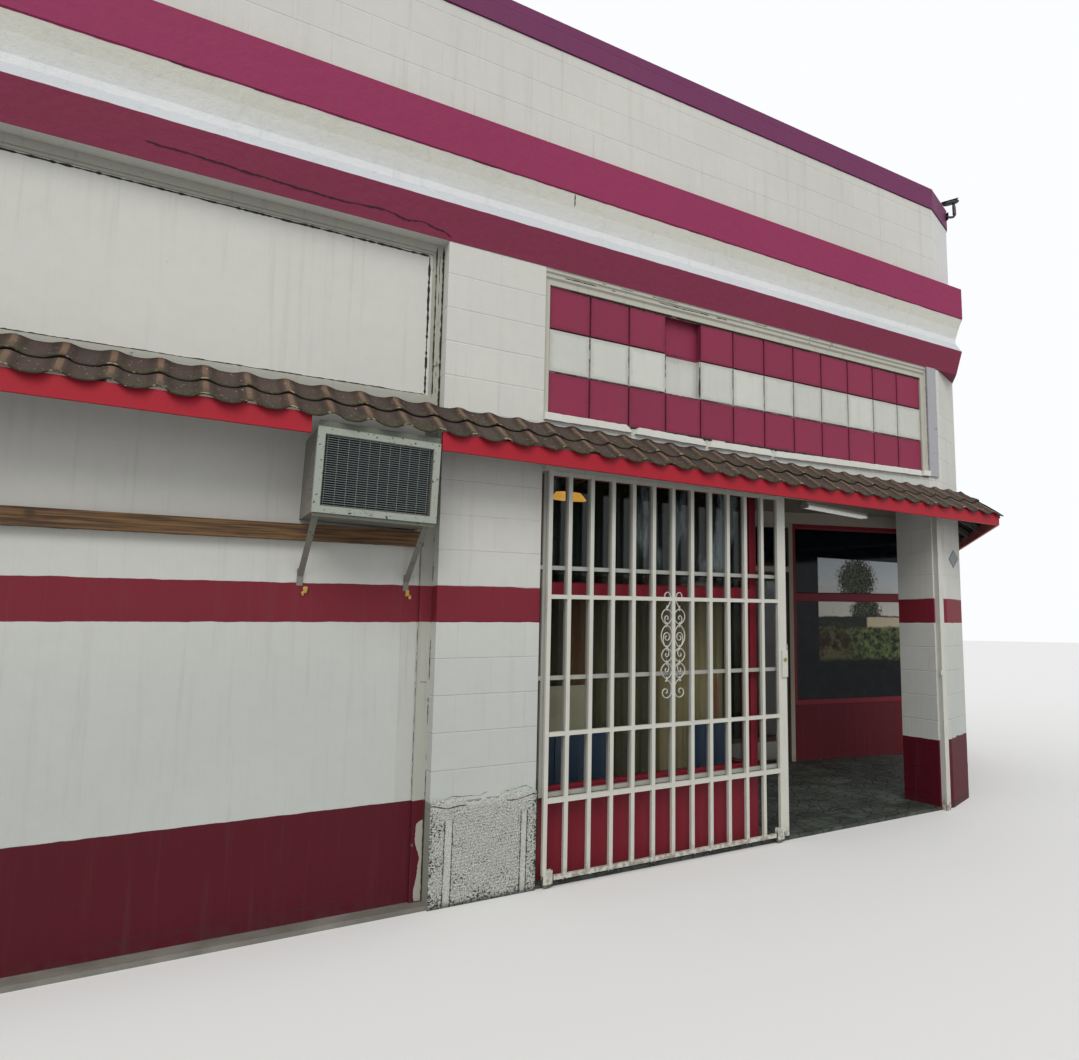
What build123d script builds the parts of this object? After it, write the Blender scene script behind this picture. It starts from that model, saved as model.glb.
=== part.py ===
from build123d import *
import os
from math import atan2, cos, degrees, hypot, radians, sin

# Corner shop building in painted block, with a recessed corner porch, a sliding barred
# gate, a tiled awning and a striped panel band over the gate.
# Millimetres. X runs to the right along the street front, Y into the building, Z up.
# The plan is set out from the foot of the middle pier's left edge, on the wall's front
# face. At the end all pieces are moved together, so that the origin is the middle of the
# footprint on the ground.

# Plan of the block walls
wall_thickness = 200
middle_pier_width = 615
left_bay_width = 2900
left_pier_width = 615
gate_bay_width = 3585
column_front_width = 170
column_depth = 380
facet_length = 465
facet_turn = 22.5
corner_opening_width = 2400
building_depth = 6600

# Heights above the pavement
floor_height = 25
rough_base_height = 555
beam_bottom = 2500
sill_bottom = 2770
ceiling_bottom = 2780
ceiling_thickness = 40
lintel_level = 3760
roof_bottom = 4250
roof_thickness = 150
parapet_top = 5270
cap_height = 190
cap_proud = 10
rough_base_proud = 14

# Cornice: height above the lintel level, and how far the face stands out there
cornice_profile = [
    (0, 4),
    (205, 58),
    (285, 8),
    (330, 8),
    (508, 66),
    (512, 72),
    (790, 72),
]

# Awning. Its two levels are those at the corner, and the front run rises to the left
awning_overhang = 290
awning_top = 2660
awning_eave = 2468
awning_rise = 0.9
awning_return = 760
tile_pitch = 182
tile_thickness = 14
tile_lip = 40
tile_overlap = 45
tile_stack = 11
run_on = 400
fascia_thickness = 22
fascia_height = 100
fascia_cooler_gap = 22
ledger_width = 40
ledger_height = 70
rafter_width = 38
rafter_height = 60
rafter_pitch = 610
seat_gap = 0.3

# One tile's wave: share of the pitch across, and height above the pan's edges
tile_section = [
    (0.0, 0),
    (0.63, 0),
    (0.71, 22),
    (0.815, 36),
    (0.92, 22),
]

# Boarded left bay
reveal = 90
bay_frame_width = 62
bay_frame_depth = 60
bay_step_width = 16
bay_step_depth = 10
board_setback = 22
board_thickness = 18
upper_board_bottom = 2840
lower_board_top = 1955
lower_board_edge = 70
plank_height = 84
plank_proud = 30
mid_board_top = 2700

# Window air conditioner in the left bay
cooler_width = 600
cooler_height = 424
cooler_depth = 560
cooler_right_edge = 108
cooler_bottom = 2056
cooler_front = 286
cooler_sag = 1.7
cooler_recess = 60
cooler_frame = 34
guard_wire = 5
guard_pitch = 19
guard_setback = 8
guard_upright = 165
strut_width = 30
strut_thickness = 5
strut_foot_height = 90
strut_reach = 223
strut_inset = 28
strut_drop = 300

# Striped panel band over the gate
band_frame_depth = 46
band_columns = 12
band_side_width = 40.5
band_panel_gap = 12
band_panel_thickness = 12
band_recess = 26
band_sill_height = 48
band_sill_proud = 26
band_head_height = 100
band_row_count = 3
sunk_column = 3
sunk_rows = 2
sunk_depth = 40
sunk_wall = 8

# Stepped moulding at the head of the panel band: proud of the frame, and below the lintel
band_moulding = [
    (0, 0),
    (22, 0),
    (22, 24),
    (12, 32),
    (12, 54),
    (0, 66),
]

# Display window
display_width = 1720
display_front = 70
display_frame_width = 50
display_frame_depth = 60
bulkhead_top = 490
transom_bar_bottom = 1690
transom_bar_height = 80
glass_thickness = 8
return_length = 1500
backboard_gap = 260
backboard_thickness = 16

# Fixed window bars behind the gate
bar_width = 25
fixed_bar_front = 12
fixed_bar_width = 1890
fixed_bar_start = 22
fixed_bar_bottom = 505
fixed_rail_heights = [505, 1185, 1849, 2440]

# Sliding gate
gate_start = 35
gate_first_bar_start = 179
gate_bar_pitch = 151.7
gate_bar_count = 12
gate_front = 36
gate_bottom = 42
gate_top = 2472
gate_rail_heights = [42, 476, 859, 1671, 2426]
gate_thick_rail = 476
thick_rail_height = 30
lock_post_width = 50
lock_box_height = 190
lock_box_bottom = 1142
gate_gap = 6
scroll_bar = 5
scroll_strip = 7
scroll_depth = 12
scroll_bottom = 1040
scroll_rows = 4
scroll_height = 152
scroll_pitch = 168
scroll_turns = [0.7, 0.62, 1]
scroll_facets = 8
strike_post_width = 50
strike_offset = 15
guide_wall = 4
guide_height = 48
guide_lip = 60
shoe_length = 46
shoe_height = 16
wheel_radius = 34
wheel_width = 13
wheel_ground_gap = 1
axle_radius = 5
axle_clearance = 0.05
cheek_thickness = 3
cheek_gap = 5
cheek_half_width = 29
cheek_bottom = 24
cheek_top = 102
front_wheel_inset = 77
lock_box_proud = 12
keeper_width = 14
keeper_proud = 8
keeper_height = 39

# Porch
porch_wall_thickness = 120
porch_jamb_run = 495
porch_jamb_depth = 456
porch_end_inset = 60
porch_end_width = 23
porch_window_bottom = 625
porch_window_top = 2654
porch_bar_bottom = 1788
porch_bar_height = 76
porch_frame_width = 45
porch_frame_depth = 60
porch_frame_setback = 20
door_opening_width = 960
door_jamb_width = 50
door_head_bottom = 2100
door_head_height = 60
door_gap = 8
door_thickness = 45
door_rail_width = 95
door_kick_height = 260
door_bottom_gap = 12
door_setback = 20
hinge_radius = 9
hinge_standoff = 10
hinge_height = 96
hinge_levels = [260, 1080, 1900]
hinge_pin_radius = 4
hinge_pin_clearance = 0.05
hinge_plate = 6
hinge_plate_width = 42
handle_radius = 11
handle_length = 320
handle_height = 980
handle_standoff = 45
handle_foot_radius = 9
handle_foot_inset = 30
lamp_length = 1220
lamp_width = 130
lamp_height = 70
lamp_run = 165
lamp_depth = 531

# Corner fittings
camera_arm_reach = 170
camera_arm_rise = 120
camera_arm_level = 86
camera_arm_width = 24
camera_head = (150, 95, 42)


def box(x0, x1, y0, y1, z0, z1):
    """A block between two corners."""
    solid = Box(x1 - x0, y1 - y0, z1 - z0, align=(Align.MIN, Align.MIN, Align.MIN))
    return Pos(x0, y0, z0) * solid


def prism(points, z0, z1):
    """An upright prism on a closed plan outline."""
    outline = make_face(Polyline(*points, close=True))
    return extrude(Pos(0, 0, z0) * outline, z1 - z0, dir=(0, 0, 1))


def inset(points, depth):
    """The corners of a closed outline, moved inwards by depth along their mitres."""
    moved = []
    for i, (x, y) in enumerate(points):
        bx, by = points[i - 1]
        ax, ay = points[(i + 1) % len(points)]
        before = hypot(x - bx, y - by)
        after = hypot(ax - x, ay - y)
        n1 = (-(y - by) / before, (x - bx) / before)
        n2 = (-(ay - y) / after, (ax - x) / after)
        reach = depth / (1 + n1[0] * n2[0] + n1[1] * n2[1])
        moved.append((x + reach * (n1[0] + n2[0]), y + reach * (n1[1] + n2[1])))
    return moved


def step(point, turn, length):
    """The plan point reached by going length from point in the direction turn."""
    return (point[0] + length * cos(radians(turn)), point[1] + length * sin(radians(turn)))


def mirrored(point):
    """A plan point's image across the middle line of the corner opening."""
    middle_sum = (porch_start[0] + porch_start[1] + porch_stop[0] + porch_stop[1]) / 2
    return (middle_sum - point[1], middle_sum - point[0])


def side_of(solid, point, turn, keep):
    """The part of a solid on one side of an upright plane through point, along turn."""
    normal = (-sin(radians(turn)), cos(radians(turn)), 0)
    return split(solid, bisect_by=Plane(origin=(*point, 0), z_dir=normal), keep=keep)


def rod(start, end, radius):
    """A round bar between two points."""
    axis = Vector(*end) - Vector(*start)
    base = Plane(origin=start, z_dir=axis)
    return extrude(base * Circle(radius), axis.length)


def joined(solids):
    """Separate solids kept together as one node."""
    return Compound(children=list(solids))


# Places that follow the piers and bays
display_end = middle_pier_width + display_width
fixed_bar_right = middle_pier_width + fixed_bar_width
gate_left = middle_pier_width + gate_start
gate_first_bar = middle_pier_width + gate_first_bar_start

# Key points of the plan, counter-clockwise from the left front corner
corner_turn = 2 * facet_turn
left_edge = -left_bay_width - left_pier_width
gate_bay_end = middle_pier_width + gate_bay_width
front_end = (gate_bay_end + column_front_width, 0)
porch_start = step(front_end, facet_turn, facet_length)
porch_stop = step(porch_start, corner_turn, corner_opening_width)
right_start = step(porch_stop, 90 - facet_turn, facet_length)
right_face = right_start[0]
outer = [
    (left_edge, 0),
    front_end,
    porch_start,
    porch_stop,
    right_start,
    (right_face, building_depth),
    (left_edge, building_depth),
]
inner = inset(outer, wall_thickness)
mitre_run = facet_length / 2 / cos(radians(facet_turn))
front_mitre = (front_end[0] + mitre_run, 0)
right_mitre = (right_face, right_start[1] - mitre_run)
straight = [
    (left_edge, 0),
    front_mitre,
    right_mitre,
    (right_face, building_depth),
    (left_edge, building_depth),
]
porch_jamb_x = gate_bay_end + porch_jamb_run
porch_jamb_y = porch_stop[1] + porch_jamb_depth
front_mitre_turn = corner_turn / 2 - 90
right_mitre_turn = corner_turn * 1.5 - 90

nodes = {}


def wall_segment(first, z0, z1):
    """One straight length of block wall, mitred into its neighbours."""
    second = (first + 1) % len(outer)
    return prism([outer[first], outer[second], inner[second], inner[first]], z0, z1)


cap_outline = inset(outer, -cap_proud)
cap_inner = inset(outer, wall_thickness + cap_proud)


def cap_segment(first):
    """One straight length of the cap course on top of the parapet."""
    second = (first + 1) % len(outer)
    plan = [cap_outline[first], cap_outline[second], cap_inner[second], cap_inner[first]]
    return prism(plan, parapet_top, parapet_top + cap_height)


# Block walls, piers and columns
def column_plan():
    """Plan of the column between the gate and the corner opening."""
    back = step(porch_start, corner_turn + 90, column_depth)
    return [(gate_bay_end, 0), front_end, porch_start, back, (gate_bay_end, column_depth)]


front_column = prism(column_plan(), 0, lintel_level)
right_column = prism([mirrored(p) for p in reversed(column_plan())], 0, lintel_level)
left_pier_plan = [outer[0], (-left_bay_width, 0), (-left_bay_width, wall_thickness), inner[0]]
nodes["front_column"] = front_column
nodes["right_column"] = right_column
nodes["left_pier"] = prism(left_pier_plan, 0, lintel_level)
middle_pier = box(0, middle_pier_width, 0, wall_thickness, 0, lintel_level)
nodes["middle_pier"] = middle_pier + box(
    0, middle_pier_width, -rough_base_proud, wall_thickness, 0, rough_base_height
)
nodes["left_wall"] = wall_segment(6, 0, parapet_top) + cap_segment(6)
nodes["back_wall"] = wall_segment(5, 0, parapet_top) + cap_segment(5)
right_wall_start = mirrored((gate_bay_end, 0))[1]
right_low = [
    (right_face, right_wall_start),
    outer[5],
    inner[5],
    (right_face - wall_thickness, right_wall_start),
]
right_upper = wall_segment(4, lintel_level, parapet_top) + cap_segment(4)
nodes["right_wall"] = prism(right_low, 0, lintel_level) + right_upper
nodes["front_upper_wall"] = wall_segment(0, lintel_level, parapet_top) + cap_segment(0)
corner_wall = wall_segment(2, beam_bottom, lintel_level) - front_column - right_column
for first in (1, 2, 3):
    corner_wall = corner_wall + wall_segment(first, lintel_level, parapet_top)
    corner_wall = corner_wall + cap_segment(first)
nodes["corner_upper_wall"] = corner_wall
nodes["gate_beam"] = box(
    middle_pier_width, gate_bay_end, 0, wall_thickness, beam_bottom, sill_bottom
)

# Ground slab, porch ceiling with the shop's, and roof deck
columns = front_column + right_column
slab = prism(outer, 0, floor_height) - columns - nodes["left_pier"] - nodes["left_wall"]
slab = slab - nodes["back_wall"] - nodes["right_wall"] - nodes["middle_pier"]
nodes["floor_slab"] = slab
ceiling = prism(inner, ceiling_bottom, ceiling_bottom + ceiling_thickness)
nodes["ceiling"] = ceiling - columns
nodes["roof_deck"] = prism(inner, roof_bottom, roof_bottom + roof_thickness)


# Stuccoed cornice: two leaning or upright bands with a hollow between, mitred at the corner
def ledge_outline(proud):
    """The straight outline of the front, corner and right faces, standing out by proud."""
    spread = inset(straight, -proud)
    left, back = left_edge, building_depth
    return [(left, -proud), spread[1], spread[2], (spread[2][0], back), (left, back)]


def ledge_layer(low, high):
    """The cornice between two rows of its profile."""
    faces = []
    for rise, proud in (low, high):
        outline = make_face(Polyline(*ledge_outline(proud), close=True))
        faces.append(Pos(0, 0, lintel_level + rise) * outline)
    return loft(faces, ruled=True)


cornice = ledge_layer(cornice_profile[0], cornice_profile[1])
for low, high in zip(cornice_profile[1:-1], cornice_profile[2:]):
    cornice = cornice + ledge_layer(low, high)
cornice = cornice - prism(outer, lintel_level, parapet_top)
rest = side_of(cornice, front_mitre, front_mitre_turn, Keep.TOP)
nodes["cornice_front"] = side_of(cornice, front_mitre, front_mitre_turn, Keep.BOTTOM)
nodes["cornice_corner"] = side_of(rest, right_mitre, right_mitre_turn, Keep.BOTTOM)
nodes["cornice_right"] = side_of(rest, right_mitre, right_mitre_turn, Keep.TOP)

# Boarded left bay
bay_left = -left_bay_width
bay_back = reveal + bay_frame_depth
bay_outside = box(bay_left, 0, reveal, bay_back, floor_height, lintel_level)
upper_board_top = lintel_level - bay_frame_width
bay_upper_hole = box(
    bay_left + bay_frame_width, -bay_frame_width, 0, wall_thickness,
    upper_board_bottom, upper_board_top,
)
bay_step = box(
    bay_left + bay_frame_width - bay_step_width, -bay_frame_width + bay_step_width,
    0, reveal + bay_step_depth,
    upper_board_bottom - bay_step_width, upper_board_top + bay_step_width,
)
bay_lower_hole = box(
    bay_left + bay_frame_width, -lower_board_edge, 0, wall_thickness,
    floor_height, mid_board_top,
)
nodes["left_bay_frame"] = bay_outside - bay_upper_hole - bay_step - bay_lower_hole
board_front = reveal + board_setback
upper_board = box(
    bay_left + bay_frame_width, -bay_frame_width, board_front,
    board_front + board_thickness, upper_board_bottom, upper_board_top,
)
lower_board = box(
    bay_left + bay_frame_width, -lower_board_edge, board_front,
    board_front + board_thickness, floor_height, lower_board_top,
)
nodes["left_plank"] = box(
    bay_left + bay_frame_width, -lower_board_edge, reveal - plank_proud,
    board_front + board_thickness, lower_board_top, lower_board_top + plank_height,
)

# Window air conditioner, sagging a little to its right, in an opening of the middle board
cooler_left = -cooler_right_edge - cooler_width
cooler_pivot = (cooler_left + cooler_width / 2, 0, cooler_bottom)
cooler_tilt = Pos(*cooler_pivot) * Rot(0, cooler_sag, 0)
half_cooler = cooler_width / 2
cooler_back = cooler_depth - cooler_front


def in_cooler(solid):
    """A solid drawn level about the cooler's foot, put in its sagging place."""
    return cooler_tilt * solid


casing = box(-half_cooler, half_cooler, -cooler_front, cooler_back, 0, cooler_height)
casing_hollow = box(
    -half_cooler + cooler_frame, half_cooler - cooler_frame, -cooler_front,
    -cooler_front + cooler_recess, cooler_frame, cooler_height - cooler_frame,
)
casing = casing - casing_hollow
guard_front = -cooler_front + guard_setback
guard = None
guard_inside = half_cooler - cooler_frame
guard_rows = int((cooler_height - 2 * cooler_frame) / guard_pitch)
guard_start = cooler_frame + guard_pitch / 2
for i in range(guard_rows):
    z = guard_start + i * guard_pitch
    wire = box(-guard_inside, guard_inside, guard_front, guard_front + guard_wire,
               z, z + guard_wire)
    guard = wire if guard is None else guard + wire
for x in (-guard_upright, 0, guard_upright):
    guard = guard + box(x, x + guard_wire, guard_front + guard_wire,
                        guard_front + 2 * guard_wire,
                        cooler_frame, cooler_height - cooler_frame)
nodes["cooler_guard"] = in_cooler(guard)
cooler_envelope = in_cooler(
    box(-half_cooler, half_cooler, -cooler_front, cooler_back, 0, cooler_height)
)
mid_board = box(
    bay_left + bay_frame_width, -lower_board_edge, board_front,
    board_front + board_thickness, lower_board_top + plank_height, mid_board_top,
)
nodes["left_boards"] = joined([upper_board, mid_board - cooler_envelope, lower_board])


strut_run = strut_reach + board_front
strut_length = hypot(strut_run, strut_drop)


def cooler_strut(x):
    """A flat diagonal stay from the cooler's foot to a plate on the boards."""
    left, right = x - strut_width / 2, x + strut_width / 2
    side = [
        (board_front, -strut_drop),
        (board_front, -strut_drop + strut_thickness * strut_length / strut_run),
        (-strut_reach + strut_thickness * strut_length / strut_drop, 0),
        (-strut_reach, 0),
    ]
    face = make_face(Polyline(*side, close=True))
    place = Plane(origin=(left, 0, 0), x_dir=(0, 1, 0), z_dir=(1, 0, 0))
    foot = box(left, right, board_front - strut_thickness, board_front,
               -strut_drop - strut_foot_height / 2, -strut_drop + strut_foot_height / 2)
    return extrude(place * face, strut_width) + foot


for x in (-half_cooler + strut_inset, half_cooler - strut_inset):
    casing = casing + cooler_strut(x)
casing = in_cooler(casing)
behind = box(bay_left, 0, board_front, building_depth, 0, lower_board_top)
nodes["cooler_casing"] = casing - behind - nodes["left_plank"]

# Awning: a ledger on the wall, rafters, a fascia at the eave and waved tile courses
slope_drop = awning_top - awning_eave
slope = slope_drop / awning_overhang
slope_length = hypot(awning_overhang, slope_drop)
slope_turn = degrees(atan2(slope_drop, awning_overhang))
eave_bottom = awning_eave - fascia_height
awning_stop = (right_face, right_start[1] + awning_return)
corner_length = hypot(right_mitre[0] - front_mitre[0], right_mitre[1] - front_mitre[1])
front_length = front_mitre[0] - left_edge
right_length = awning_stop[1] - right_mitre[1]
front_place = Pos(*front_mitre, awning_top) * Rot(0, awning_rise, 0) * Pos(0, 0, -awning_top)
corner_place = Pos(*front_mitre, 0) * Rot(0, 0, corner_turn)
right_place = Pos(*right_mitre, 0) * Rot(0, 0, 2 * corner_turn)


def on_runs(draw):
    """What draw makes between two ends along X, put on each run and cut at the mitres."""
    front = front_place * draw(-front_length, run_on)
    corner = corner_place * draw(-run_on, corner_length + run_on)
    right = right_place * draw(-run_on, right_length)
    front = side_of(front, front_mitre, front_mitre_turn, Keep.BOTTOM)
    corner = side_of(corner, front_mitre, front_mitre_turn, Keep.TOP)
    corner = side_of(corner, right_mitre, right_mitre_turn, Keep.BOTTOM)
    right = side_of(right, right_mitre, right_mitre_turn, Keep.TOP)
    return front, corner, right


def fascia(start, stop):
    """The fascia board at the eave."""
    return box(start, stop, -awning_overhang, -awning_overhang + fascia_thickness,
               eave_bottom, awning_eave)


cooler_gap = box(
    cooler_left - fascia_cooler_gap, -cooler_right_edge + fascia_cooler_gap,
    -2 * awning_overhang, 0, 0, lintel_level,
)
fascia_front, fascia_corner, fascia_right = on_runs(fascia)
nodes["fascia_front"] = fascia_front - cooler_gap
nodes["fascia_corner"] = fascia_corner
nodes["fascia_right"] = fascia_right
ledger_top = awning_top - ledger_width * slope - seat_gap


def ledger(start, stop):
    """The timber along the wall under the tiles' upper edge."""
    return box(start, stop, -ledger_width, 0, ledger_top - ledger_height, ledger_top)


def rafter(offset):
    """A sloping timber from the ledger's face to the back of the fascia."""
    reach = awning_overhang - fascia_thickness
    low = awning_top - reach * slope - seat_gap
    side = [(-ledger_width, ledger_top), (-ledger_width, ledger_top - rafter_height),
            (-reach, low - rafter_height), (-reach, low)]
    face = make_face(Polyline(*side, close=True))
    place = Plane(origin=(offset, 0, 0), x_dir=(0, 1, 0), z_dir=(1, 0, 0))
    return extrude(place * face, rafter_width)


def rafters(start, stop):
    """A row of rafters along one run, drawn in the run's own X."""
    row = []
    count = int((stop - start) / rafter_pitch) + 1
    pitch = (stop - start) / count
    for i in range(count):
        row.append(rafter(start + (i + 0.5) * pitch - rafter_width / 2))
    return row


ledger_front, ledger_corner, ledger_right = on_runs(ledger)
house = prism(outer, 0, lintel_level)
ledger_corner = ledger_corner - house
ledger_right = ledger_right - house
rafters_stop = cooler_left - 2 * fascia_cooler_gap - front_mitre[0]
for timber in rafters(-front_length, rafters_stop) + rafters(-front_mitre[0], 0):
    ledger_front = ledger_front + front_place * timber
for timber in rafters(0, corner_length):
    ledger_corner = ledger_corner + corner_place * timber
for timber in rafters(0, right_length):
    ledger_right = ledger_right + right_place * timber
nodes["awning_frame_front"] = ledger_front
nodes["awning_frame_corner"] = ledger_corner
nodes["awning_frame_right"] = ledger_right


def tile_wave(length):
    """The waved cross-section of a tile course: a flat pan and a roll in each tile."""
    count = int(length / tile_pitch) + 1
    lower = [((i + across) * tile_pitch, rise)
             for i in range(count) for across, rise in tile_section]
    lower.append((count * tile_pitch, 0))
    upper = [(x, z + tile_thickness) for x, z in reversed(lower)]
    wave = make_face(Polyline(*lower, *upper, close=True))
    return wave & Pos(length / 2, 0) * Rectangle(length, 4 * tile_pitch)


def tile_courses(start, stop):
    """Two overlapping courses down the slope."""
    down = (0, -cos(radians(slope_turn)), -sin(radians(slope_turn)))
    top = Plane(origin=(start, 0, awning_top), x_dir=(1, 0, 0), z_dir=down)
    course = (slope_length + tile_lip + tile_overlap) / 2
    tile = extrude(top * tile_wave(stop - start), course)
    along = course - tile_overlap
    low = Pos(0, down[1] * along, down[2] * along) * tile
    normal = (0, -sin(radians(slope_turn)), cos(radians(slope_turn)))
    high = Pos(0, normal[1] * tile_stack, normal[2] * tile_stack) * tile
    return high + low


tiles_front, tiles_corner, tiles_right = on_runs(tile_courses)
nodes["tiles_front"] = tiles_front
nodes["tiles_corner"] = tiles_corner - house
nodes["tiles_right"] = tiles_right - house

# Striped panel band in its frame over the gate
band_left = middle_pier_width
band_right = gate_bay_end
band_low = sill_bottom + band_sill_height
band_high = lintel_level - band_head_height
frame_outside = box(
    band_left, band_right, band_recess, band_recess + band_frame_depth,
    sill_bottom, lintel_level,
)
inside_left = band_left + band_side_width
inside_right = band_right - band_side_width
band_panel_pitch = (inside_right - inside_left) / band_columns
frame_inside = box(inside_left, inside_right, 0, wall_thickness, band_low, band_high)
moulding = [(band_recess - proud, lintel_level - fall) for proud, fall in band_moulding]
moulding_start = Plane(origin=(band_left, 0, 0), x_dir=(0, 1, 0), z_dir=(1, 0, 0))
moulding_face = make_face(Polyline(*moulding, close=True))
head_moulding = extrude(moulding_start * moulding_face, band_right - band_left)
nodes["band_frame"] = frame_outside - frame_inside + head_moulding
row_height = (band_high - band_low) / band_row_count
panel_face = band_recess + band_panel_thickness
panel_back = panel_face + band_panel_thickness
strip_back = band_recess + band_frame_depth
sunk_left = inside_left + sunk_column * band_panel_pitch
sunk_right = sunk_left + band_panel_pitch
sunk_bottom = band_high - sunk_rows * row_height
sunk_well = box(sunk_left, sunk_right, 0, panel_back + sunk_depth, sunk_bottom, band_high)
sunk_box = box(sunk_left - sunk_wall, sunk_right + sunk_wall, panel_back,
               panel_back + sunk_depth + sunk_wall,
               sunk_bottom - sunk_wall, band_high + sunk_wall) - frame_outside
band_rows = []
for row in range(band_row_count):
    z0 = band_low + row * row_height
    z1 = z0 + row_height
    strip = box(inside_left, inside_right, panel_back, strip_back, z0, z1)
    for column in range(band_columns):
        x = inside_left + column * band_panel_pitch + band_panel_gap / 2
        strip = strip + box(x, x + band_panel_pitch - band_panel_gap, panel_face,
                            panel_back, z0 + band_panel_gap / 2, z1 - band_panel_gap / 2)
    row_slice = box(inside_left, inside_right, 0, wall_thickness,
                    sunk_bottom - sunk_wall if row == band_row_count - sunk_rows else z0,
                    z1 + sunk_wall if row == band_row_count - 1 else z1)
    if row >= band_row_count - sunk_rows:
        strip = strip + (sunk_box & row_slice) - sunk_well
    band_rows.append(strip)
nodes["band_dark_panels"] = joined(band_rows[0::2])
nodes["band_light_panels"] = joined(band_rows[1::2])
nodes["band_sill"] = box(
    band_left, band_right, -band_sill_proud, band_recess,
    sill_bottom, sill_bottom + band_sill_height,
)

# Display window with its return along the porch
display_back = display_front + display_frame_depth
glass_back = display_front + (display_frame_depth + glass_thickness) / 2
glass_front = glass_back - glass_thickness
return_stop = display_front + return_length
return_inner = display_end - display_frame_depth
bar_top = transom_bar_bottom + transom_bar_height
window_bays = [
    (bulkhead_top + display_frame_width, transom_bar_bottom),
    (bar_top, beam_bottom - display_frame_width),
]
front_frame = box(middle_pier_width, display_end, display_front, display_back,
                  floor_height, beam_bottom)
side_frame = box(return_inner, display_end, display_back, return_stop,
                 floor_height, beam_bottom)
side_frame = side_frame + box(return_inner, display_end, wall_thickness, return_stop,
                              beam_bottom, ceiling_bottom)
front_panes = []
side_panes = []
pane_left = middle_pier_width + display_frame_width
for z0, z1 in window_bays:
    front_frame = front_frame - box(pane_left, return_inner, 0, wall_thickness, z0, z1)
    side_frame = side_frame - box(
        return_inner, display_end, display_back + display_frame_width,
        return_stop - display_frame_width, z0, z1,
    )
    front_panes.append(box(pane_left, return_inner, glass_front, glass_back, z0, z1))
    side_panes.append(box(
        display_end - glass_back + display_front, display_end - glass_front + display_front,
        display_back + display_frame_width, return_stop - display_frame_width, z0, z1,
    ))
nodes["display_frame"] = front_frame
nodes["return_frame"] = side_frame
nodes["display_glass"] = joined(front_panes + side_panes)
backboard_y = display_back + backboard_gap
nodes["display_backboard"] = box(
    middle_pier_width, return_inner, backboard_y, backboard_y + backboard_thickness,
    floor_height, transom_bar_bottom,
)

# Back wall of the porch: solid wall, door frame, window over a low panel, and a head above
porch_end = step(porch_stop, corner_turn + 90, porch_end_inset)
porch_run = hypot(porch_end[0] - porch_jamb_x, porch_end[1] - porch_jamb_y)
porch_turn = degrees(atan2(porch_end[1] - porch_jamb_y, porch_end[0] - porch_jamb_x))
porch_place = Pos(porch_jamb_x, porch_jamb_y, 0) * Rot(0, 0, porch_turn)
door_right = -door_jamb_width
door_left = door_right - door_opening_width
frame_left = door_left - door_jamb_width
wall_end_x = display_end - porch_jamb_x


def in_porch(solid):
    """A solid drawn along the porch wall's own X, put in its place."""
    return porch_place * solid


def porch_box(x0, x1, y0, y1, z0, z1):
    """A block in the porch wall's own frame."""
    return in_porch(box(x0, x1, y0, y1, z0, z1))


wall_direction = (cos(radians(porch_turn)), sin(radians(porch_turn)))
wall_normal = (-wall_direction[1], wall_direction[0])


def porch_point(x, y):
    """The plan point at x along the porch wall and y into it."""
    return (porch_jamb_x + x * wall_direction[0] + y * wall_normal[0],
            porch_jamb_y + x * wall_direction[1] + y * wall_normal[1])


def porch_line_at(plan_x, y):
    """The plan point where the porch wall's face, y into it, crosses X = plan_x."""
    along = (plan_x - porch_jamb_x - y * wall_normal[0]) / wall_direction[0]
    return porch_point(along, y)


across = (cos(radians(corner_turn)), sin(radians(corner_turn)))


def porch_to_column(y):
    """How far along the porch wall, y into it, the right column's face lies."""
    start = porch_point(0, y)
    ahead = (porch_stop[0] - start[0]) * across[0] + (porch_stop[1] - start[1]) * across[1]
    return ahead / (wall_direction[0] * across[0] + wall_direction[1] * across[1])


column_back = porch_to_column(porch_wall_thickness)
porch_window_width = column_back - porch_end_width
left_plan = [
    porch_line_at(return_inner, 0),
    porch_point(frame_left, 0),
    porch_point(frame_left, porch_wall_thickness),
    porch_line_at(return_inner, porch_wall_thickness),
]
nodes["porch_left_wall"] = prism(left_plan, floor_height, ceiling_bottom)
side_stop = porch_line_at(display_end, 0)
side_plan = [
    (return_inner, return_stop),
    (display_end, return_stop),
    side_stop,
    porch_line_at(return_inner, 0),
]
nodes["porch_side_wall"] = prism(side_plan, floor_height, ceiling_bottom)
nodes["porch_head"] = porch_box(
    frame_left, porch_window_width, 0, porch_wall_thickness, porch_window_top, ceiling_bottom
)
end_plan = [
    porch_point(porch_window_width, 0),
    porch_point(porch_to_column(0), 0),
    porch_point(column_back, porch_wall_thickness),
    porch_point(porch_window_width, porch_wall_thickness),
]
window_wall = prism(end_plan, floor_height, ceiling_bottom) - nodes["corner_upper_wall"]
nodes["porch_window_wall"] = window_wall + porch_box(
    0, porch_window_width, 0, porch_wall_thickness, floor_height, porch_window_bottom
)
porch_frame = box(
    0, porch_window_width, porch_frame_setback, porch_frame_setback + porch_frame_depth,
    porch_window_bottom, porch_window_top,
)
pane_y = porch_frame_setback + porch_frame_depth / 2
porch_panes = []
for z0, z1 in [
    (porch_window_bottom + porch_frame_width, porch_bar_bottom),
    (porch_bar_bottom + porch_bar_height, porch_window_top - porch_frame_width),
]:
    hole_right = porch_window_width - porch_frame_width
    porch_frame = porch_frame - box(porch_frame_width, hole_right, 0, wall_thickness, z0, z1)
    pane = box(porch_frame_width, hole_right, pane_y, pane_y + glass_thickness, z0, z1)
    porch_panes.append(in_porch(pane))
nodes["porch_window_frame"] = in_porch(porch_frame)

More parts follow.
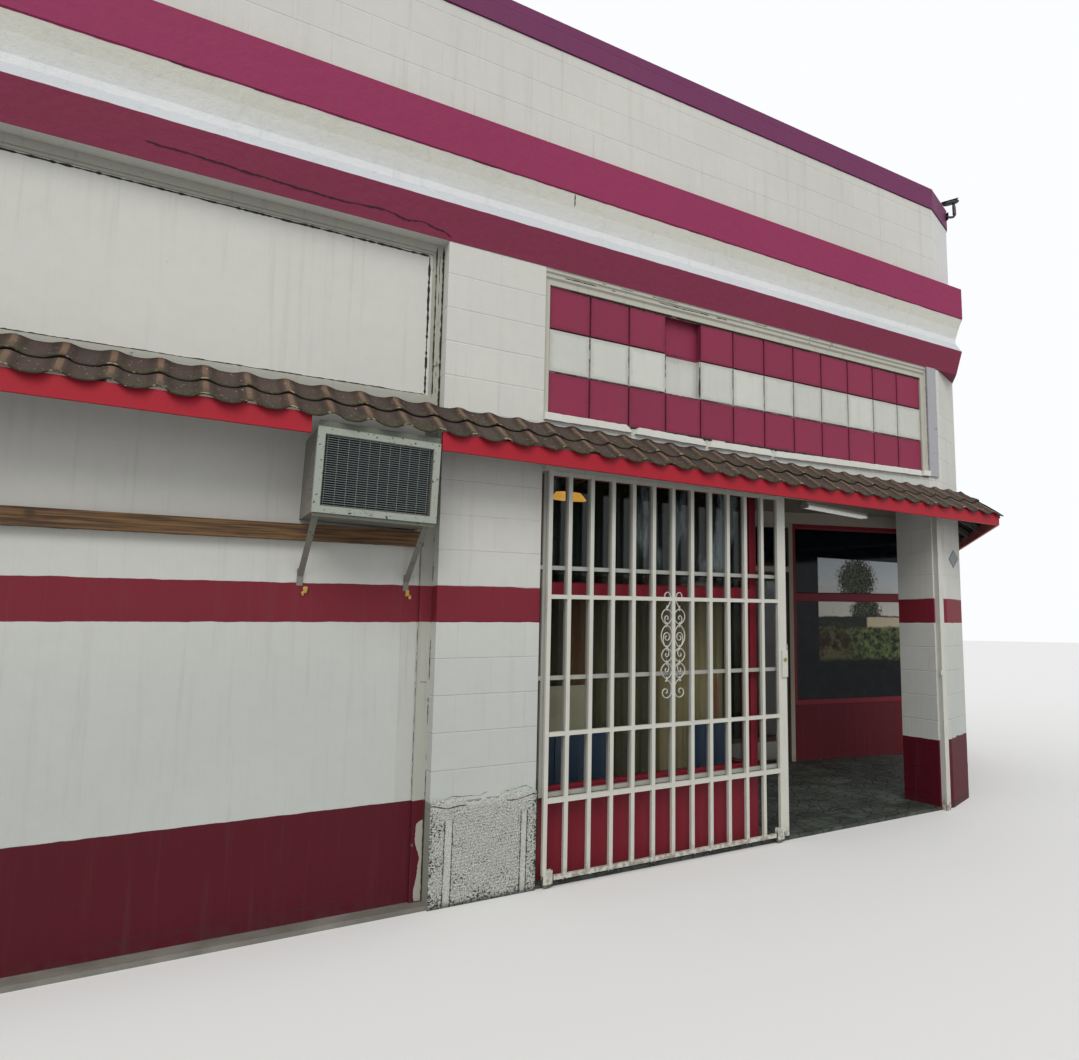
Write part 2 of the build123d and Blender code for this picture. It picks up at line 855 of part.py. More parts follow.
# Entrance door: frame with a glazed light over the leaf, which swings out on three hinges
door_frame = box(frame_left, 0, 0, porch_wall_thickness, floor_height, porch_window_top)
door_frame = door_frame - box(
    door_left, door_right, 0, porch_wall_thickness, floor_height, door_head_bottom
)
light_low = door_head_bottom + door_head_height
light_high = porch_window_top - door_jamb_width
door_frame = door_frame - box(
    door_left, door_right, 0, porch_wall_thickness, light_low, light_high
)
hinge_x = door_left
hinge_y = -hinge_standoff
pin_hole = hinge_pin_radius + hinge_pin_clearance
half_hinge = hinge_height / 2


def hinge_barrel(z, height):
    """One half of a hinge's knuckle, standing on z."""
    return rod((hinge_x, hinge_y, z), (hinge_x, hinge_y, z + height), hinge_radius)


for z in hinge_levels:
    door_frame = door_frame + hinge_barrel(z, half_hinge)
    door_frame = door_frame + box(hinge_x - hinge_plate_width, hinge_x, -hinge_plate, 0,
                                  z, z + half_hinge)
    door_frame = door_frame + rod((hinge_x, hinge_y, z + half_hinge),
                                  (hinge_x, hinge_y, z + hinge_height), hinge_pin_radius)
nodes["door_frame"] = in_porch(door_frame)
porch_panes.append(porch_box(
    door_left, door_right, pane_y, pane_y + glass_thickness, light_low, light_high
))
nodes["porch_glass"] = joined(porch_panes)
leaf_left = door_left + door_gap
leaf_right = door_right - door_gap
leaf_low = floor_height + door_bottom_gap
leaf_high = door_head_bottom - door_gap
leaf = box(leaf_left, leaf_right, door_setback, door_setback + door_thickness,
           leaf_low, leaf_high)
glass_low = leaf_low + door_kick_height
glass_high = leaf_high - door_rail_width
leaf = leaf - box(leaf_left + door_rail_width, leaf_right - door_rail_width, 0, wall_thickness,
                  glass_low, glass_high)
for z in hinge_levels:
    low = z + half_hinge + seat_gap
    knuckle = hinge_barrel(low, half_hinge)
    arm = box(hinge_x, hinge_x + hinge_plate_width, hinge_y - hinge_plate / 2,
              hinge_y + hinge_plate / 2, low, low + half_hinge)
    web = box(hinge_x + hinge_plate_width - hinge_plate, hinge_x + hinge_plate_width,
              hinge_y, door_setback, low, low + half_hinge)
    bore = rod((hinge_x, hinge_y, low), (hinge_x, hinge_y, low + half_hinge), pin_hole)
    leaf = leaf + (knuckle + arm + web - bore)
nodes["door_leaf"] = in_porch(leaf)
pane_y = door_setback + door_thickness / 2
nodes["door_glass"] = porch_box(
    leaf_left + door_rail_width, leaf_right - door_rail_width,
    pane_y, pane_y + glass_thickness, glass_low, glass_high,
)
handle_x = leaf_right - door_rail_width / 2
handle_y = door_setback - handle_standoff
handle = rod((handle_x, handle_y, handle_height),
             (handle_x, handle_y, handle_height + handle_length), handle_radius)
handle_top = handle_height + handle_length
for z in (handle_height + handle_foot_inset, handle_top - handle_foot_inset):
    handle = handle + rod((handle_x, handle_y, z), (handle_x, door_setback, z),
                          handle_foot_radius)
nodes["door_handle"] = in_porch(handle)

# Fluorescent fitting under the porch ceiling
lamp = box(-lamp_length / 2, lamp_length / 2, -lamp_width / 2, lamp_width / 2,
           ceiling_bottom - lamp_height, ceiling_bottom)
lamp_place = Pos(porch_jamb_x + lamp_run, porch_jamb_y - lamp_depth, 0)
nodes["porch_lamp"] = lamp_place * Rot(0, 0, -porch_turn) * lamp

# Fixed window bars
fixed_left = middle_pier_width
fixed_count = gate_bar_count
fixed_first_bar = fixed_left + fixed_bar_start
fixed_step = (fixed_bar_right - fixed_first_bar - bar_width) / fixed_count
fixed_grille = None
for z in fixed_rail_heights:
    rail = box(fixed_left, fixed_bar_right, fixed_bar_front, fixed_bar_front + bar_width,
               z, z + bar_width)
    fixed_grille = rail if fixed_grille is None else fixed_grille + rail
for i in range(fixed_count + 1):
    x = fixed_first_bar + i * fixed_step
    fixed_grille = fixed_grille + box(
        x, x + bar_width, fixed_bar_front, fixed_bar_front + bar_width,
        fixed_bar_bottom, fixed_rail_heights[-1] + bar_width,
    )
nodes["window_bars"] = fixed_grille

# Sliding gate leaf
gate_back = gate_front - bar_width
last_bar = gate_first_bar + (gate_bar_count - 1) * gate_bar_pitch
lock_left = last_bar + bar_width / 2
lock_right = lock_left + lock_post_width
gate = box(gate_left, gate_left + bar_width, -gate_front, -gate_back, gate_bottom, gate_top)
for z in gate_rail_heights:
    height = thick_rail_height if z == gate_thick_rail else bar_width
    gate = gate + box(gate_left, lock_left, -gate_front, -gate_back, z, z + height)
for i in range(gate_bar_count):
    x = gate_first_bar + i * gate_bar_pitch
    gate = gate + box(x - bar_width / 2, x + bar_width / 2, -gate_front, -gate_back,
                      gate_bottom, gate_top)
gate = gate + box(lock_left, lock_right, -gate_front, -gate_back, gate_bottom, gate_top)
shoe_front = -gate_front - gate_gap + seat_gap
for x in (gate_left, lock_left):
    gate = gate + box(x, x + shoe_length, shoe_front, -guide_wall - seat_gap,
                      gate_top - shoe_height, gate_top)


def cheeks(x):
    """Two cheek plates that carry a gate wheel's axle under the leaf."""
    left, right = x - cheek_half_width, x + cheek_half_width
    front = box(left, right, -gate_front - cheek_thickness, -gate_front,
                cheek_bottom, cheek_top)
    back = box(left, right, -gate_back, -gate_back + cheek_thickness,
               cheek_bottom, cheek_top)
    middle = wheel_ground_gap + wheel_radius
    axle = rod((x, -gate_front - cheek_thickness, middle),
               (x, -gate_back + cheek_thickness, middle), axle_radius)
    return front + back + axle


def wheel(x):
    """A grooved floor wheel on its axle."""
    middle_y = -(gate_front + gate_back) / 2
    middle_z = wheel_ground_gap + wheel_radius
    place = Plane(origin=(x, middle_y - wheel_width / 2, middle_z), x_dir=(1, 0, 0),
                  z_dir=(0, 1, 0))
    disc = extrude(place * Circle(wheel_radius), wheel_width)
    return disc - extrude(place * Circle(axle_radius + axle_clearance), wheel_width)


wheel_xs = [gate_left + wheel_radius, lock_right - front_wheel_inset]
for x in wheel_xs:
    well = box(x - wheel_radius - cheek_gap, x + wheel_radius + cheek_gap,
               -gate_front, -gate_back, 0, wheel_ground_gap + 2 * wheel_radius + cheek_gap)
    gate = gate - well + cheeks(x)
nodes["gate_leaf"] = gate
nodes["gate_rear_wheel"] = wheel(wheel_xs[0])
nodes["gate_front_wheel"] = wheel(wheel_xs[1])
nodes["gate_lock_box"] = box(
    lock_left, lock_right, -gate_front - lock_box_proud, -gate_front,
    lock_box_bottom, lock_box_bottom + lock_box_height,
)


# Wrought scrollwork: pairs of S-scrolls of flat strip on either side of one bar
def half_ring(centre_z, radius, side):
    """Half a turn of the strip about a point on the scroll's axis."""
    ring = RegularPolygon(radius + scroll_strip / 2, scroll_facets)
    ring = ring - RegularPolygon(radius - scroll_strip / 2, scroll_facets)
    reach = 2 * radius + scroll_strip
    half = Pos(side * reach / 2, 0) * Rectangle(reach, 2 * reach)
    return Pos(0, centre_z) * (ring & half)


def scroll(side):
    """One S-scroll about its own middle, winding inwards at both ends."""
    strip = None
    for end in (1, -1):
        top = 0
        way = side * end
        radius = scroll_height / 4
        for shrink in scroll_turns:
            centre = top + end * radius
            piece = half_ring(centre, radius, way)
            strip = piece if strip is None else strip + piece
            top = centre + end * radius
            end, way = -end, -way
            radius = radius * shrink
    return strip


scroll_x = gate_first_bar + scroll_bar * gate_bar_pitch
scroll_reach = bar_width / 2 + scroll_height / 4 + scroll_strip / 2 + seat_gap
scroll_plane = Plane(origin=(scroll_x, -(gate_front + gate_back - scroll_depth) / 2, 0),
                     x_dir=(1, 0, 0), z_dir=(0, -1, 0))
work = []
for row in range(scroll_rows):
    z = scroll_bottom + (row + 0.5) * scroll_pitch
    for side in (-1, 1):
        strip = scroll_plane * Pos(side * scroll_reach, z) * scroll(side)
        work.append(extrude(strip, scroll_depth) - gate)
nodes["gate_scrollwork"] = joined(work)

# Gate's guide channel under the beam, and the strike post on the column
guide_out = gate_front + gate_gap + guide_wall
guide_end = gate_bay_end + strike_offset + strike_post_width
guide_low = beam_bottom - guide_height
guide_profile = [
    (0, guide_low), (0, beam_bottom + guide_lip), (-guide_wall, beam_bottom + guide_lip),
    (-guide_wall, beam_bottom), (-guide_out, beam_bottom), (-guide_out, guide_low),
    (-guide_out + guide_wall, guide_low), (-guide_out + guide_wall, beam_bottom - guide_wall),
    (-guide_wall, beam_bottom - guide_wall), (-guide_wall, guide_low),
]
guide_face = make_face(Polyline(*guide_profile, close=True))
guide_start = Plane(origin=(middle_pier_width, 0, 0), x_dir=(0, 1, 0), z_dir=(1, 0, 0))
nodes["gate_guide"] = extrude(guide_start * guide_face, guide_end - middle_pier_width)
strike_left = gate_bay_end + strike_offset
strike = box(strike_left, strike_left + strike_post_width, -strike_post_width, 0,
             0, guide_low)
keeper_top = lock_box_bottom - gate_gap
keeper = box(strike_left - keeper_width, strike_left,
             -strike_post_width, -strike_post_width + keeper_proud,
             keeper_top - keeper_height, keeper_top)
nodes["strike_post"] = strike + keeper
gate_travel = strike_left - lock_right - gate_gap

# Small camera head on an arm at the parapet's corner
arm_foot = step(front_end, facet_turn, facet_length * 0.9)
arm_z = parapet_top + camera_arm_level
outward = facet_turn - 45
arm_top = arm_z + camera_arm_rise
arm_half = camera_arm_width / 2
arm_place = Pos(*arm_foot, 0) * Rot(0, 0, outward)
camera = box(0, camera_arm_reach + arm_half, -arm_half, arm_half,
             arm_z - arm_half, arm_z + arm_half)
camera = camera + box(camera_arm_reach - arm_half, camera_arm_reach + arm_half,
                      -arm_half, arm_half, arm_z, arm_top)
camera = camera + Pos(camera_arm_reach, 0, arm_top + camera_head[2] / 2) * Box(*camera_head)
nodes["corner_camera"] = arm_place * camera - nodes["corner_upper_wall"]

# Move everything so that the origin is the footprint's middle, and write the pieces
whole = Compound(children=[Part() + shape for shape in nodes.values()])
extent = whole.bounding_box()
shift_x = -(extent.min.X + extent.max.X) / 2
shift_y = -(extent.min.Y + extent.max.Y) / 2

os.makedirs("parts", exist_ok=True)
for name, shape in nodes.items():
    export_step(Pos(shift_x, shift_y, 0) * shape, f"parts/{name}.step")
print("nodes", len(nodes), "shift", round(shift_x, 3), round(shift_y, 3))
print("size", [round(v) for v in (extent.size.X, extent.size.Y, extent.size.Z)])
print("gate travel", gate_travel)
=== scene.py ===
"""Looks of the corner shop building: painted block walls, tiled awning, sliding gate and porch.

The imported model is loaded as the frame. Its rigid nodes keep their shape and get their
finishes here, and finer pieces are added or put in their place. Heights and places in a
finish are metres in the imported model's frame. Pieces are drawn in "plan" millimetres,
measured from the foot of the middle pier's left edge on the wall's front face.
"""

from __future__ import annotations

import logging
import math
from collections.abc import Callable
from dataclasses import dataclass
from enum import Enum
from functools import cache

import bmesh
import bpy
import numpy as np
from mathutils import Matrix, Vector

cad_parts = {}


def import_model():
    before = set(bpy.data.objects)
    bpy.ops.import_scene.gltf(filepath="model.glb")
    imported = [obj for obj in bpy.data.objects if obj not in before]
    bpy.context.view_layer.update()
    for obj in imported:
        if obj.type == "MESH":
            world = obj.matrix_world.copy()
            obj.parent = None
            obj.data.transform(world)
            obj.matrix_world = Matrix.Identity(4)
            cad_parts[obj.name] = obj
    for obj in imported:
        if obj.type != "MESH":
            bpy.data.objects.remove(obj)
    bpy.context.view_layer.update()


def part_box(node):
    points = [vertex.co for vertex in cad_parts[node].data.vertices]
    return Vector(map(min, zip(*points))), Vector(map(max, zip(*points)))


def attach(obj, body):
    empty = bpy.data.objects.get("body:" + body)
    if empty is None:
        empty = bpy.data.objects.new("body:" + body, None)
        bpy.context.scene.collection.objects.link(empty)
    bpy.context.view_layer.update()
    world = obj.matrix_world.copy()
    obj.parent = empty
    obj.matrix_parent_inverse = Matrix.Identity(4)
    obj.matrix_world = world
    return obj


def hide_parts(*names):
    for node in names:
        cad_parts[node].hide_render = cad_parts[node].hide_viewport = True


log = logging.getLogger("shop")
Array = np.ndarray
Part = tuple[Array, list[Array]]
Line = tuple[object, ...]
SIDE, BACK, UP = np.eye(3)
OUT = -BACK
EIGHTH = math.radians(22.5)


class Paint(str, Enum):
    """The building's paints, as screen colours."""

    CREAM = "CDCDC7"
    SHADE_CREAM = "C5C6C1"
    BAND = "8F3057"
    LOW_BAND = "80304A"
    STRIPE = "78212F"
    BASE = "560B1C"
    BULKHEAD = "761B29"
    # The porch's low maroon: the bulkhead's maroon made darker as painted shade of the porch.
    SHADED_PORCH_BASE = "5A131E"
    CAP = "6E3058"
    FASCIA = "A51C2C"
    PLASTER = "ABA697"
    STEEL = "C6C6BD"
    GALVANISED = "7F7D74"


class Surface(Enum):
    """The ground that a paint lies on, which sets its relief."""

    BLOCK = "block"
    STUCCO = "stucco"
    BOARD = "board"
    STEEL = "steel"
    PLASTER = "plaster"


def srgb(code: str) -> tuple[float, ...]:
    """The linear red, green and blue of a six-digit screen colour, by the sRGB curve."""
    parts = [int(code[i:i + 2], 16) / 255 for i in (0, 2, 4)]
    return tuple(c / 12.92 if c < 0.04045 else ((c + 0.055) / 1.055) ** 2.4 for c in parts)


# ---------------------------------------------------------------- finishes


class Field:
    """A number or colour that varies over a surface: a node's output to reckon with."""

    def __init__(self, shader: Shader, socket: bpy.types.NodeSocket) -> None:
        """Keeps the output and the material that it is in."""
        self.shader, self.socket = shader, socket

    def __add__(self, other: Value) -> Field:
        """The sum."""
        return self.shader.math("ADD", self, other)

    def __sub__(self, other: Value) -> Field:
        """The difference."""
        return self.shader.math("SUBTRACT", self, other)

    def __rsub__(self, other: float) -> Field:
        """A plain number less this."""
        return self.shader.math("SUBTRACT", other, self)

    def __mul__(self, other: Value) -> Field:
        """The product."""
        return self.shader.math("MULTIPLY", self, other)

    def __truediv__(self, other: Value) -> Field:
        """The quotient."""
        return self.shader.math("DIVIDE", self, other)

    def least(self, other: Value) -> Field:
        """The smaller of two."""
        return self.shader.math("MINIMUM", self, other)

    def most(self, other: Value) -> Field:
        """The larger of two."""
        return self.shader.math("MAXIMUM", self, other)

    def floor(self) -> Field:
        """The whole part."""
        return self.shader.math("FLOOR", self)

    def edge(self) -> Field:
        """Distance to the nearest whole number."""
        part = self.shader.math("FRACT", self)
        return part.least(1.0 - part)

    def step(self, low: float, high: float) -> Field:
        """A smooth rise from 0 to 1 as the value goes from low to high."""
        return self.shader.field("ShaderNodeMapRange", self, low, high, 0.0, 1.0,
                                 interpolation_type="SMOOTHSTEP")


Value = float | Field


class Shader:
    """A node material being written, with short calls for the nodes the finishes use."""

    def __init__(self, name: str) -> None:
        """Starts a material of that name."""
        self.material = bpy.data.materials.new(name)
        self.material.use_nodes = True
        self.tree = self.material.node_tree
        self.surface = self.tree.nodes["Principled BSDF"]
        self.place = self.field("ShaderNodeTexCoord", output="Object")
        self.x, self.y, self.z = (
            self.field("ShaderNodeSeparateXYZ", self.place, output=i) for i in range(3))

    def field(self, kind: str, *values: object, output: int | str = 0,
              **settings: object) -> Field:
        """Adds a node.

        Args:
            kind: The node's type.
            values: What its sockets get, in order. None leaves one as it is.
            output: Which of its outputs is wanted.
            settings: Its options.

        Returns:
            That output.
        """
        node = self.tree.nodes.new(kind)
        for key, value in settings.items():
            setattr(node, key, value)
        for socket, value in zip(node.inputs, values):
            self.put(socket, value)
        return Field(self, node.outputs[output])

    def put(self, socket: bpy.types.NodeSocket, value: object) -> None:
        """Fills a socket.

        Args:
            socket: The socket.
            value: A field to link, a number, a vector, a screen colour, or None.
        """
        if isinstance(value, Field):
            self.tree.links.new(value.socket, socket)
        elif value is not None:
            if isinstance(value, str):
                value = srgb(value)
            if socket.type == "RGBA":
                value = (*value, 1.0)
            socket.default_value = value

    def math(self, operation: str, *values: Value, clamp: bool = False) -> Field:
        """One math node's result."""
        return self.field("ShaderNodeMath", *values, operation=operation, use_clamp=clamp)

    def vector(self, operation: str, *values: object, output: int = 0) -> Field:
        """One vector math node's result."""
        return self.field("ShaderNodeVectorMath", *values, operation=operation,
                          output=output)

    def coats(self, colour: object, *coats: tuple[Value, object]) -> Field:
        """Lays further colours over a first.

        Args:
            colour: The colour below.
            coats: Share and colour of each coat, in order.

        Returns:
            The colour on top.
        """
        for share, coat in coats:
            colour = self.field("ShaderNodeMix", share, *[None] * 5, colour, coat,
                                data_type="RGBA", output=2)
        return colour

    def tone(self, colour: object, factor: Value) -> Field:
        """A colour made lighter or darker by a factor."""
        return self.vector("SCALE", colour, None, None, factor)

    def noise(self, scale: float, detail: float = 3.0, rough: float = 0.55,
              stretch: tuple[float, float, float] | None = None) -> Field:
        """Fractal noise around one half.

        Args:
            scale: How fine it is.
            detail: How many finer layers it has.
            rough: How strong they are.
            stretch: Scale along each axis, if they differ.

        Returns:
            The noise.
        """
        at = self.vector("MULTIPLY", self.place, stretch) if stretch else self.place
        return self.field("ShaderNodeTexNoise", at, None, scale, detail, rough)

    def cells(self, scale: float, feature: str = "F1", at: Field | None = None) -> Field:
        """Distances in a cellular pattern."""
        return self.field("ShaderNodeTexVoronoi", at or self.place, None, scale,
                          feature=feature, output="Distance")

    def differing(self, column: Field, row: Field) -> Field:
        """A value from 0 to 1 that differs from cell to cell."""
        cell = self.field("ShaderNodeCombineXYZ", column, row, 0.0)
        return self.field("ShaderNodeTexWhiteNoise", cell, output="Value")

    def attribute(self, label: str) -> Field:
        """A number that the mesh holds at its points."""
        return self.field("ShaderNodeAttribute", attribute_name=label, output="Fac")

    def finish(self, colour: object, rough: Value = 0.6, height: Field | None = None,
               depth: float = 0.002, **sockets: Value) -> bpy.types.Material:
        """Wires the surface.

        Args:
            colour: The base colour.
            rough: The roughness.
            height: A relief from 0 to 1, or None for a smooth surface.
            depth: How deep that relief is, in metres.
            sockets: More sockets of the surface by name, with _ for a blank.

        Returns:
            The finished material.
        """
        for name, value in {"Base_Color": colour, "Roughness": rough, **sockets}.items():
            self.put(self.surface.inputs[name.replace("_", " ")], value)
        if height:
            bump = self.field("ShaderNodeBump", None, depth).socket.node
            self.put(bump.inputs["Height"], height)
            self.put(self.surface.inputs["Normal"], Field(self, bump.outputs[0]))
        return self.material


class Finish:
    """A surface finish, whose node material is written at its first use."""

    name: str

    @cache
    def material(self) -> bpy.types.Material:
        """The finish's material."""
        return self.write(Shader(self.name))

    def write(self, s: Shader) -> bpy.types.Material:
        """Writes the nodes."""
        raise NotImplementedError


@dataclass(frozen=True)
class PaintedFace(Finish):
    """Brush paint on block, stucco, board or steel, in level bands of colour.

    Attributes:
        name: The material's name.
        surface: What the paint lies on.
        colour: The lowest band's colour.
        bands: Height from which each further colour holds, lowest first.
        peel: How much paint has come off, from 0 to 1.
        under: What shows where it has.
        grime: How dirty it is, from 0 to 1.
        rough: The paint's roughness.
        low_shade: How much painted shade darkens and cools the paint low down, from 0 to 1.
        specks: How many small dark chips it has, from 0 to 1.
        cells: Start and width along X, then start and height, of panels that differ.
    """

    name: str
    surface: Surface
    colour: str
    bands: tuple[tuple[float, str], ...] = ()
    peel: float = 0.0
    under: str = "8A8272"
    grime: float = 0.35
    rough: float = 0.62
    low_shade: float = 0.0
    specks: float = 0.0
    cells: tuple[float, float, float, float] | None = None

    def panelled(self, s: Shader, value: Field) -> Field:
        """The lightness with a step from panel to panel, and darker along their edges."""
        left, width, low, height = self.cells
        across, up = (s.x - left) / width, (s.z - low) / height
        near = (across.edge() * width).least(up.edge() * height)
        shade = s.differing(across.floor(), up.floor()) * 0.14 + 0.92
        edge = (near - (s.noise(22.0, 4.0) * 0.05 - 0.004)).step(0.02, -0.012)
        return value * shade * (edge * -0.16 + 1.0)

    def block_joints(self, s: Shader) -> tuple[Field, Field]:
        """Courses of 203 mm in half bond: a mask of the joints, and a shade for each block."""
        course, length, first = 0.2032, 0.4064, 0.514
        row = (s.z - first) / course
        normal = s.field("ShaderNodeTexCoord", output="Normal")
        side = s.vector("NORMALIZE", s.vector("CROSS_PRODUCT", tuple(UP), normal))
        along = s.vector("DOT_PRODUCT", s.place, side, output=1)
        bond = s.math("MODULO", row.floor() + 100.0, 2.0) * 0.5
        run = along / length + bond
        bed, end = (1.0 - (at.edge() * size).step(0.001, 0.006)
                    for at, size in ((row, course), (run, length)))
        return bed.most(end * 0.5), s.differing(run.floor(), row.floor())

    def ground(self, s: Shader, value: Field) -> tuple[Field, Field, float]:
        """The relief of what the paint lies on.

        Args:
            s: The material being written.
            value: The paint's lightness so far.

        Returns:
            The lightness with the joints in it, the relief and its depth in metres.
        """
        if self.surface is Surface.BLOCK:
            joints, shade = self.block_joints(s)
            worn = joints * s.noise(5.0, 4.0).step(0.36, 0.66)
            value = value * (shade * 0.03 + 0.985) * (worn * -0.08 + 1.0)
            grain = s.noise(60.0, 5.0, 0.7) * 0.35 + 0.3
            return value, joints * -0.5 + grain, 0.0035
        if self.surface is Surface.STUCCO:
            return value, s.noise(22.0, 4.0, 0.6) * 0.8 + s.noise(230.0, 3.0, 0.6) * 0.25, 0.006
        if self.surface is Surface.BOARD:
            level = s.noise(1.0, 5.0, 0.6, (9.0, 9.0, 240.0))
            upright = s.noise(1.0, 5.0, 0.6, (120.0, 120.0, 3.0))
            return value, upright * 0.55 + level * 0.25, 0.0016
        if self.surface is Surface.STEEL:
            return value, s.noise(90.0, 4.0, 0.6), 0.0006
        return value, s.noise(35.0, 5.0, 0.65), 0.003

    def write(self, s: Shader) -> bpy.types.Material:
        """Writes the bands, whose hand-cut edges wander by millimetres, and their wear."""
        z, cut = s.z + (s.noise(9.0, 4.0) * 0.012 - 0.006), 0.0015
        colour = s.coats(self.colour, *((z.step(start - cut, start + cut), paint)
                                        for start, paint in self.bands))
        value = (s.noise(0.9) * 0.16 + 0.92) * (s.noise(14.0, 5.0, 0.6) * 0.09 + 0.955)
        value, relief, depth = self.ground(s, value)
        if self.cells:
            value = self.panelled(s, value)
        colour = s.tone(colour, value)
        # Painted shade: the paint is made darker and bluer low down, as in the shade under the
        # awning.
        if self.low_shade:
            shaded_colour = s.vector("MULTIPLY", colour, (0.82, 0.86, 0.88))
            colour = s.coats(colour, (s.z.step(2.3, 0.8) * self.low_shade, shaded_colour))
        streaks = s.noise(1.0, 5.0, 0.6, (26.0, 26.0, 1.1)).step(0.52, 0.78)
        foot = (1.0 - s.z.step(0.0, 0.12)) * s.noise(16.0, 5.0).step(0.36, 0.62)
        colour = s.coats(colour, (streaks * self.grime * 0.35, "5F594E"),
                         (foot * (0.25 + 0.5 * self.grime) * 0.8, "3D382E"))
        rough: Value = self.rough
        if self.peel:
            edge = 0.74 - 0.2 * self.peel
            gone = s.noise(11.0, 8.0, 0.68).step(edge, edge + 0.012)
            colour = s.coats(colour, (gone, self.under))
            relief = gone * -0.6 + relief
            rough = gone * 0.2 + self.rough
        if self.specks:
            edge = 0.73 - 0.1 * self.specks
            colour = s.coats(colour, (s.noise(70.0, 3.0, 0.5).step(edge, edge + 0.015),
                                      "22231F"))
        return s.finish(colour, rough, relief, depth, Specular_IOR_Level=0.25)


@dataclass(frozen=True)
class WornSteel(Finish):
    """Brush paint on steel, chipped to rust here and there and rusty by the ground.

    Attributes:
        name: The material's name.
        colour: The paint.
        chips: Share of chips, from 0 to 1.
        rough: The paint's roughness.
        metal: How metallic it is.
    """

    name: str
    colour: str = Paint.STEEL
    chips: float = 0.25
    rough: float = 0.42
    metal: float = 0.0

    def write(self, s: Shader) -> bpy.types.Material:
        """Writes the paint, its streaks, chips with their halo, and the rust."""
        chips, edge = s.noise(48.0, 7.0, 0.7), 0.80 - 0.17 * self.chips
        gone = chips.step(edge, edge + 0.015)
        rust = (1.0 - s.z.step(0.02, 0.14)) * s.noise(30.0, 5.0).step(0.42, 0.6)
        streak = s.noise(1.0, 4.0, 0.6, (60.0, 60.0, 5.0)).step(0.55, 0.75)
        colour = s.coats(
            s.tone(self.colour, s.noise(6.0, 4.0) * 0.22 + 0.89), (streak * 0.22, "7B6A55"),
            (chips.step(edge - 0.03, edge) * 0.35, "8E6B4A"), (gone, "4A3022"),
            (rust * 0.7, "5B4028"))
        return s.finish(colour, gone * 0.35 + self.rough, gone * -0.7 + s.noise(120.0, 4.0),
                        0.0005, Metallic=self.metal)


@dataclass(frozen=True)
class RoofTile(Finish):
    """Grit-coated brown tile, mossy by its edge, with painted light and shade on its waves."""

    name: str = "roof_tile"

    def write(self, s: Shader) -> bpy.types.Material:
        """Writes the tile from the four numbers that its mesh holds."""
        pan, edge, shade, under = map(s.attribute, ("pan", "edge", "tile", "under"))
        brown = s.coats("4B3831", (s.noise(6.0, 5.0, 0.65).step(0.35, 0.65), "372B27"))
        green = s.coats("2B3018", (s.noise(40.0, 4.0).step(0.4, 0.6), "4E5033"))
        grit = s.noise(420.0, 2.0, 0.7)
        moss = (edge * 0.42 + (s.noise(4.5, 6.0, 0.7) * 1.6 - 0.7)).step(0.2, 0.5)
        tips = pan.step(0.35, 0.1) * edge.step(0.86, 0.96)
        colour = s.coats(
            brown, (shade * 0.5, "5A4A42"),
            # Painted shade on the flanks of the rolls and down into the pans.
            (pan.step(0.18, 0.4) * pan.step(0.9, 0.6) * 0.45, "231B19"),
            # Painted highlight along the crest of each roll.
            ((1.0 - pan.step(0.02, 0.15)) * 0.6, "8A705A"),
            (grit.step(0.56, 0.7) * 0.4, "7A6C62"), (grit.step(0.45, 0.3) * 0.5, "241D1A"),
            (pan.step(0.85, 1.0) * 0.3, "4A4340"), (moss * 0.55, green),
            # Dark along the lower edge: grime, and painted shadow under the course above.
            (edge.step(0.80, 0.97) * 0.6, "2A2119"),
            (s.noise(30.0, 4.0, 0.6).step(0.50, 0.56) * tips * 0.85, "B39E80"),
            (s.noise(75.0, 3.0, 0.5).step(0.68, 0.71) * 0.75, "B2B3AD"),
            # Painted shade: the tile's underside is made near black.
            (under * 0.8, "14110E"))
        return s.finish(colour, 0.88, s.noise(30.0, 4.0) * 0.5 + grit, 0.0025,
                        Specular_IOR_Level=0.3)


@dataclass(frozen=True)
class BareWood(Finish):
    """Weathered timber with its grain along X.

    Attributes:
        name: The material's name.
        light: The paler grain.
        dark: The darker grain.
    """

    name: str
    light: str
    dark: str

    def write(self, s: Shader) -> bpy.types.Material:
        """Writes the grain and the knots."""
        lines = s.noise(1.0, 6.0, 0.65, (3.0, 45.0, 90.0))
        colour = s.coats(self.dark, (lines.step(0.35, 0.65), self.light),
                         (s.cells(4.0).step(0.12, 0.05) * 0.7, self.dark))
        return s.finish(colour, 0.8, lines, 0.002)


@dataclass(frozen=True)
class WindowGlass(Finish):
    """Dusty shop glass that shows the room behind it, under a dark cover, differing by height,
    that paints the dim room's shade.

    Attributes:
        name: The material's name.
        dark_cover: Colour and cover of the painted shade on the lower glass, from 0 to 1.
        top: Height from which the upper glass's painted shade holds, its colour and its cover.
        glare: Strength of the painted sky reflection: pale upright patches in the upper glass.
    """

    name: str
    dark_cover: tuple[str, float]
    top: tuple[float, str, float]
    glare: float

    def write(self, s: Shader) -> bpy.types.Material:
        """Writes the painted shade covers, the painted sky reflection and the dust."""
        z = s.z + (s.noise(3.5, 4.0) * 0.16 - 0.08)
        # The covers paint the shade of the dim room behind the glass, the upper one denser.
        start, dark_cover, hides = self.top
        share = z.step(start - 0.02, start + 0.02)
        cover = share * (hides - self.dark_cover[1]) + self.dark_cover[1]
        # Painted reflection: pale upright patches of sky in the upper glass.
        glare = s.noise(1.0, 4.0, 0.6, (5.0, 5.0, 1.3)).step(0.5, 0.62) * s.z.step(1.84, 1.95)
        dust = s.noise(2.2, 6.0, 0.7).step(0.5, 0.8)
        colour = s.coats(self.dark_cover[0], (share, dark_cover), (glare * self.glare, "8E9DA2"),
                         (dust * 0.2, "6C716B"))
        alpha = s.math("MULTIPLY_ADD", dust, 0.08, cover, clamp=True)
        s.material.surface_render_method = "BLENDED"
        return s.finish(colour, dust * 0.12 + 0.04, Alpha=alpha, IOR=1.5)


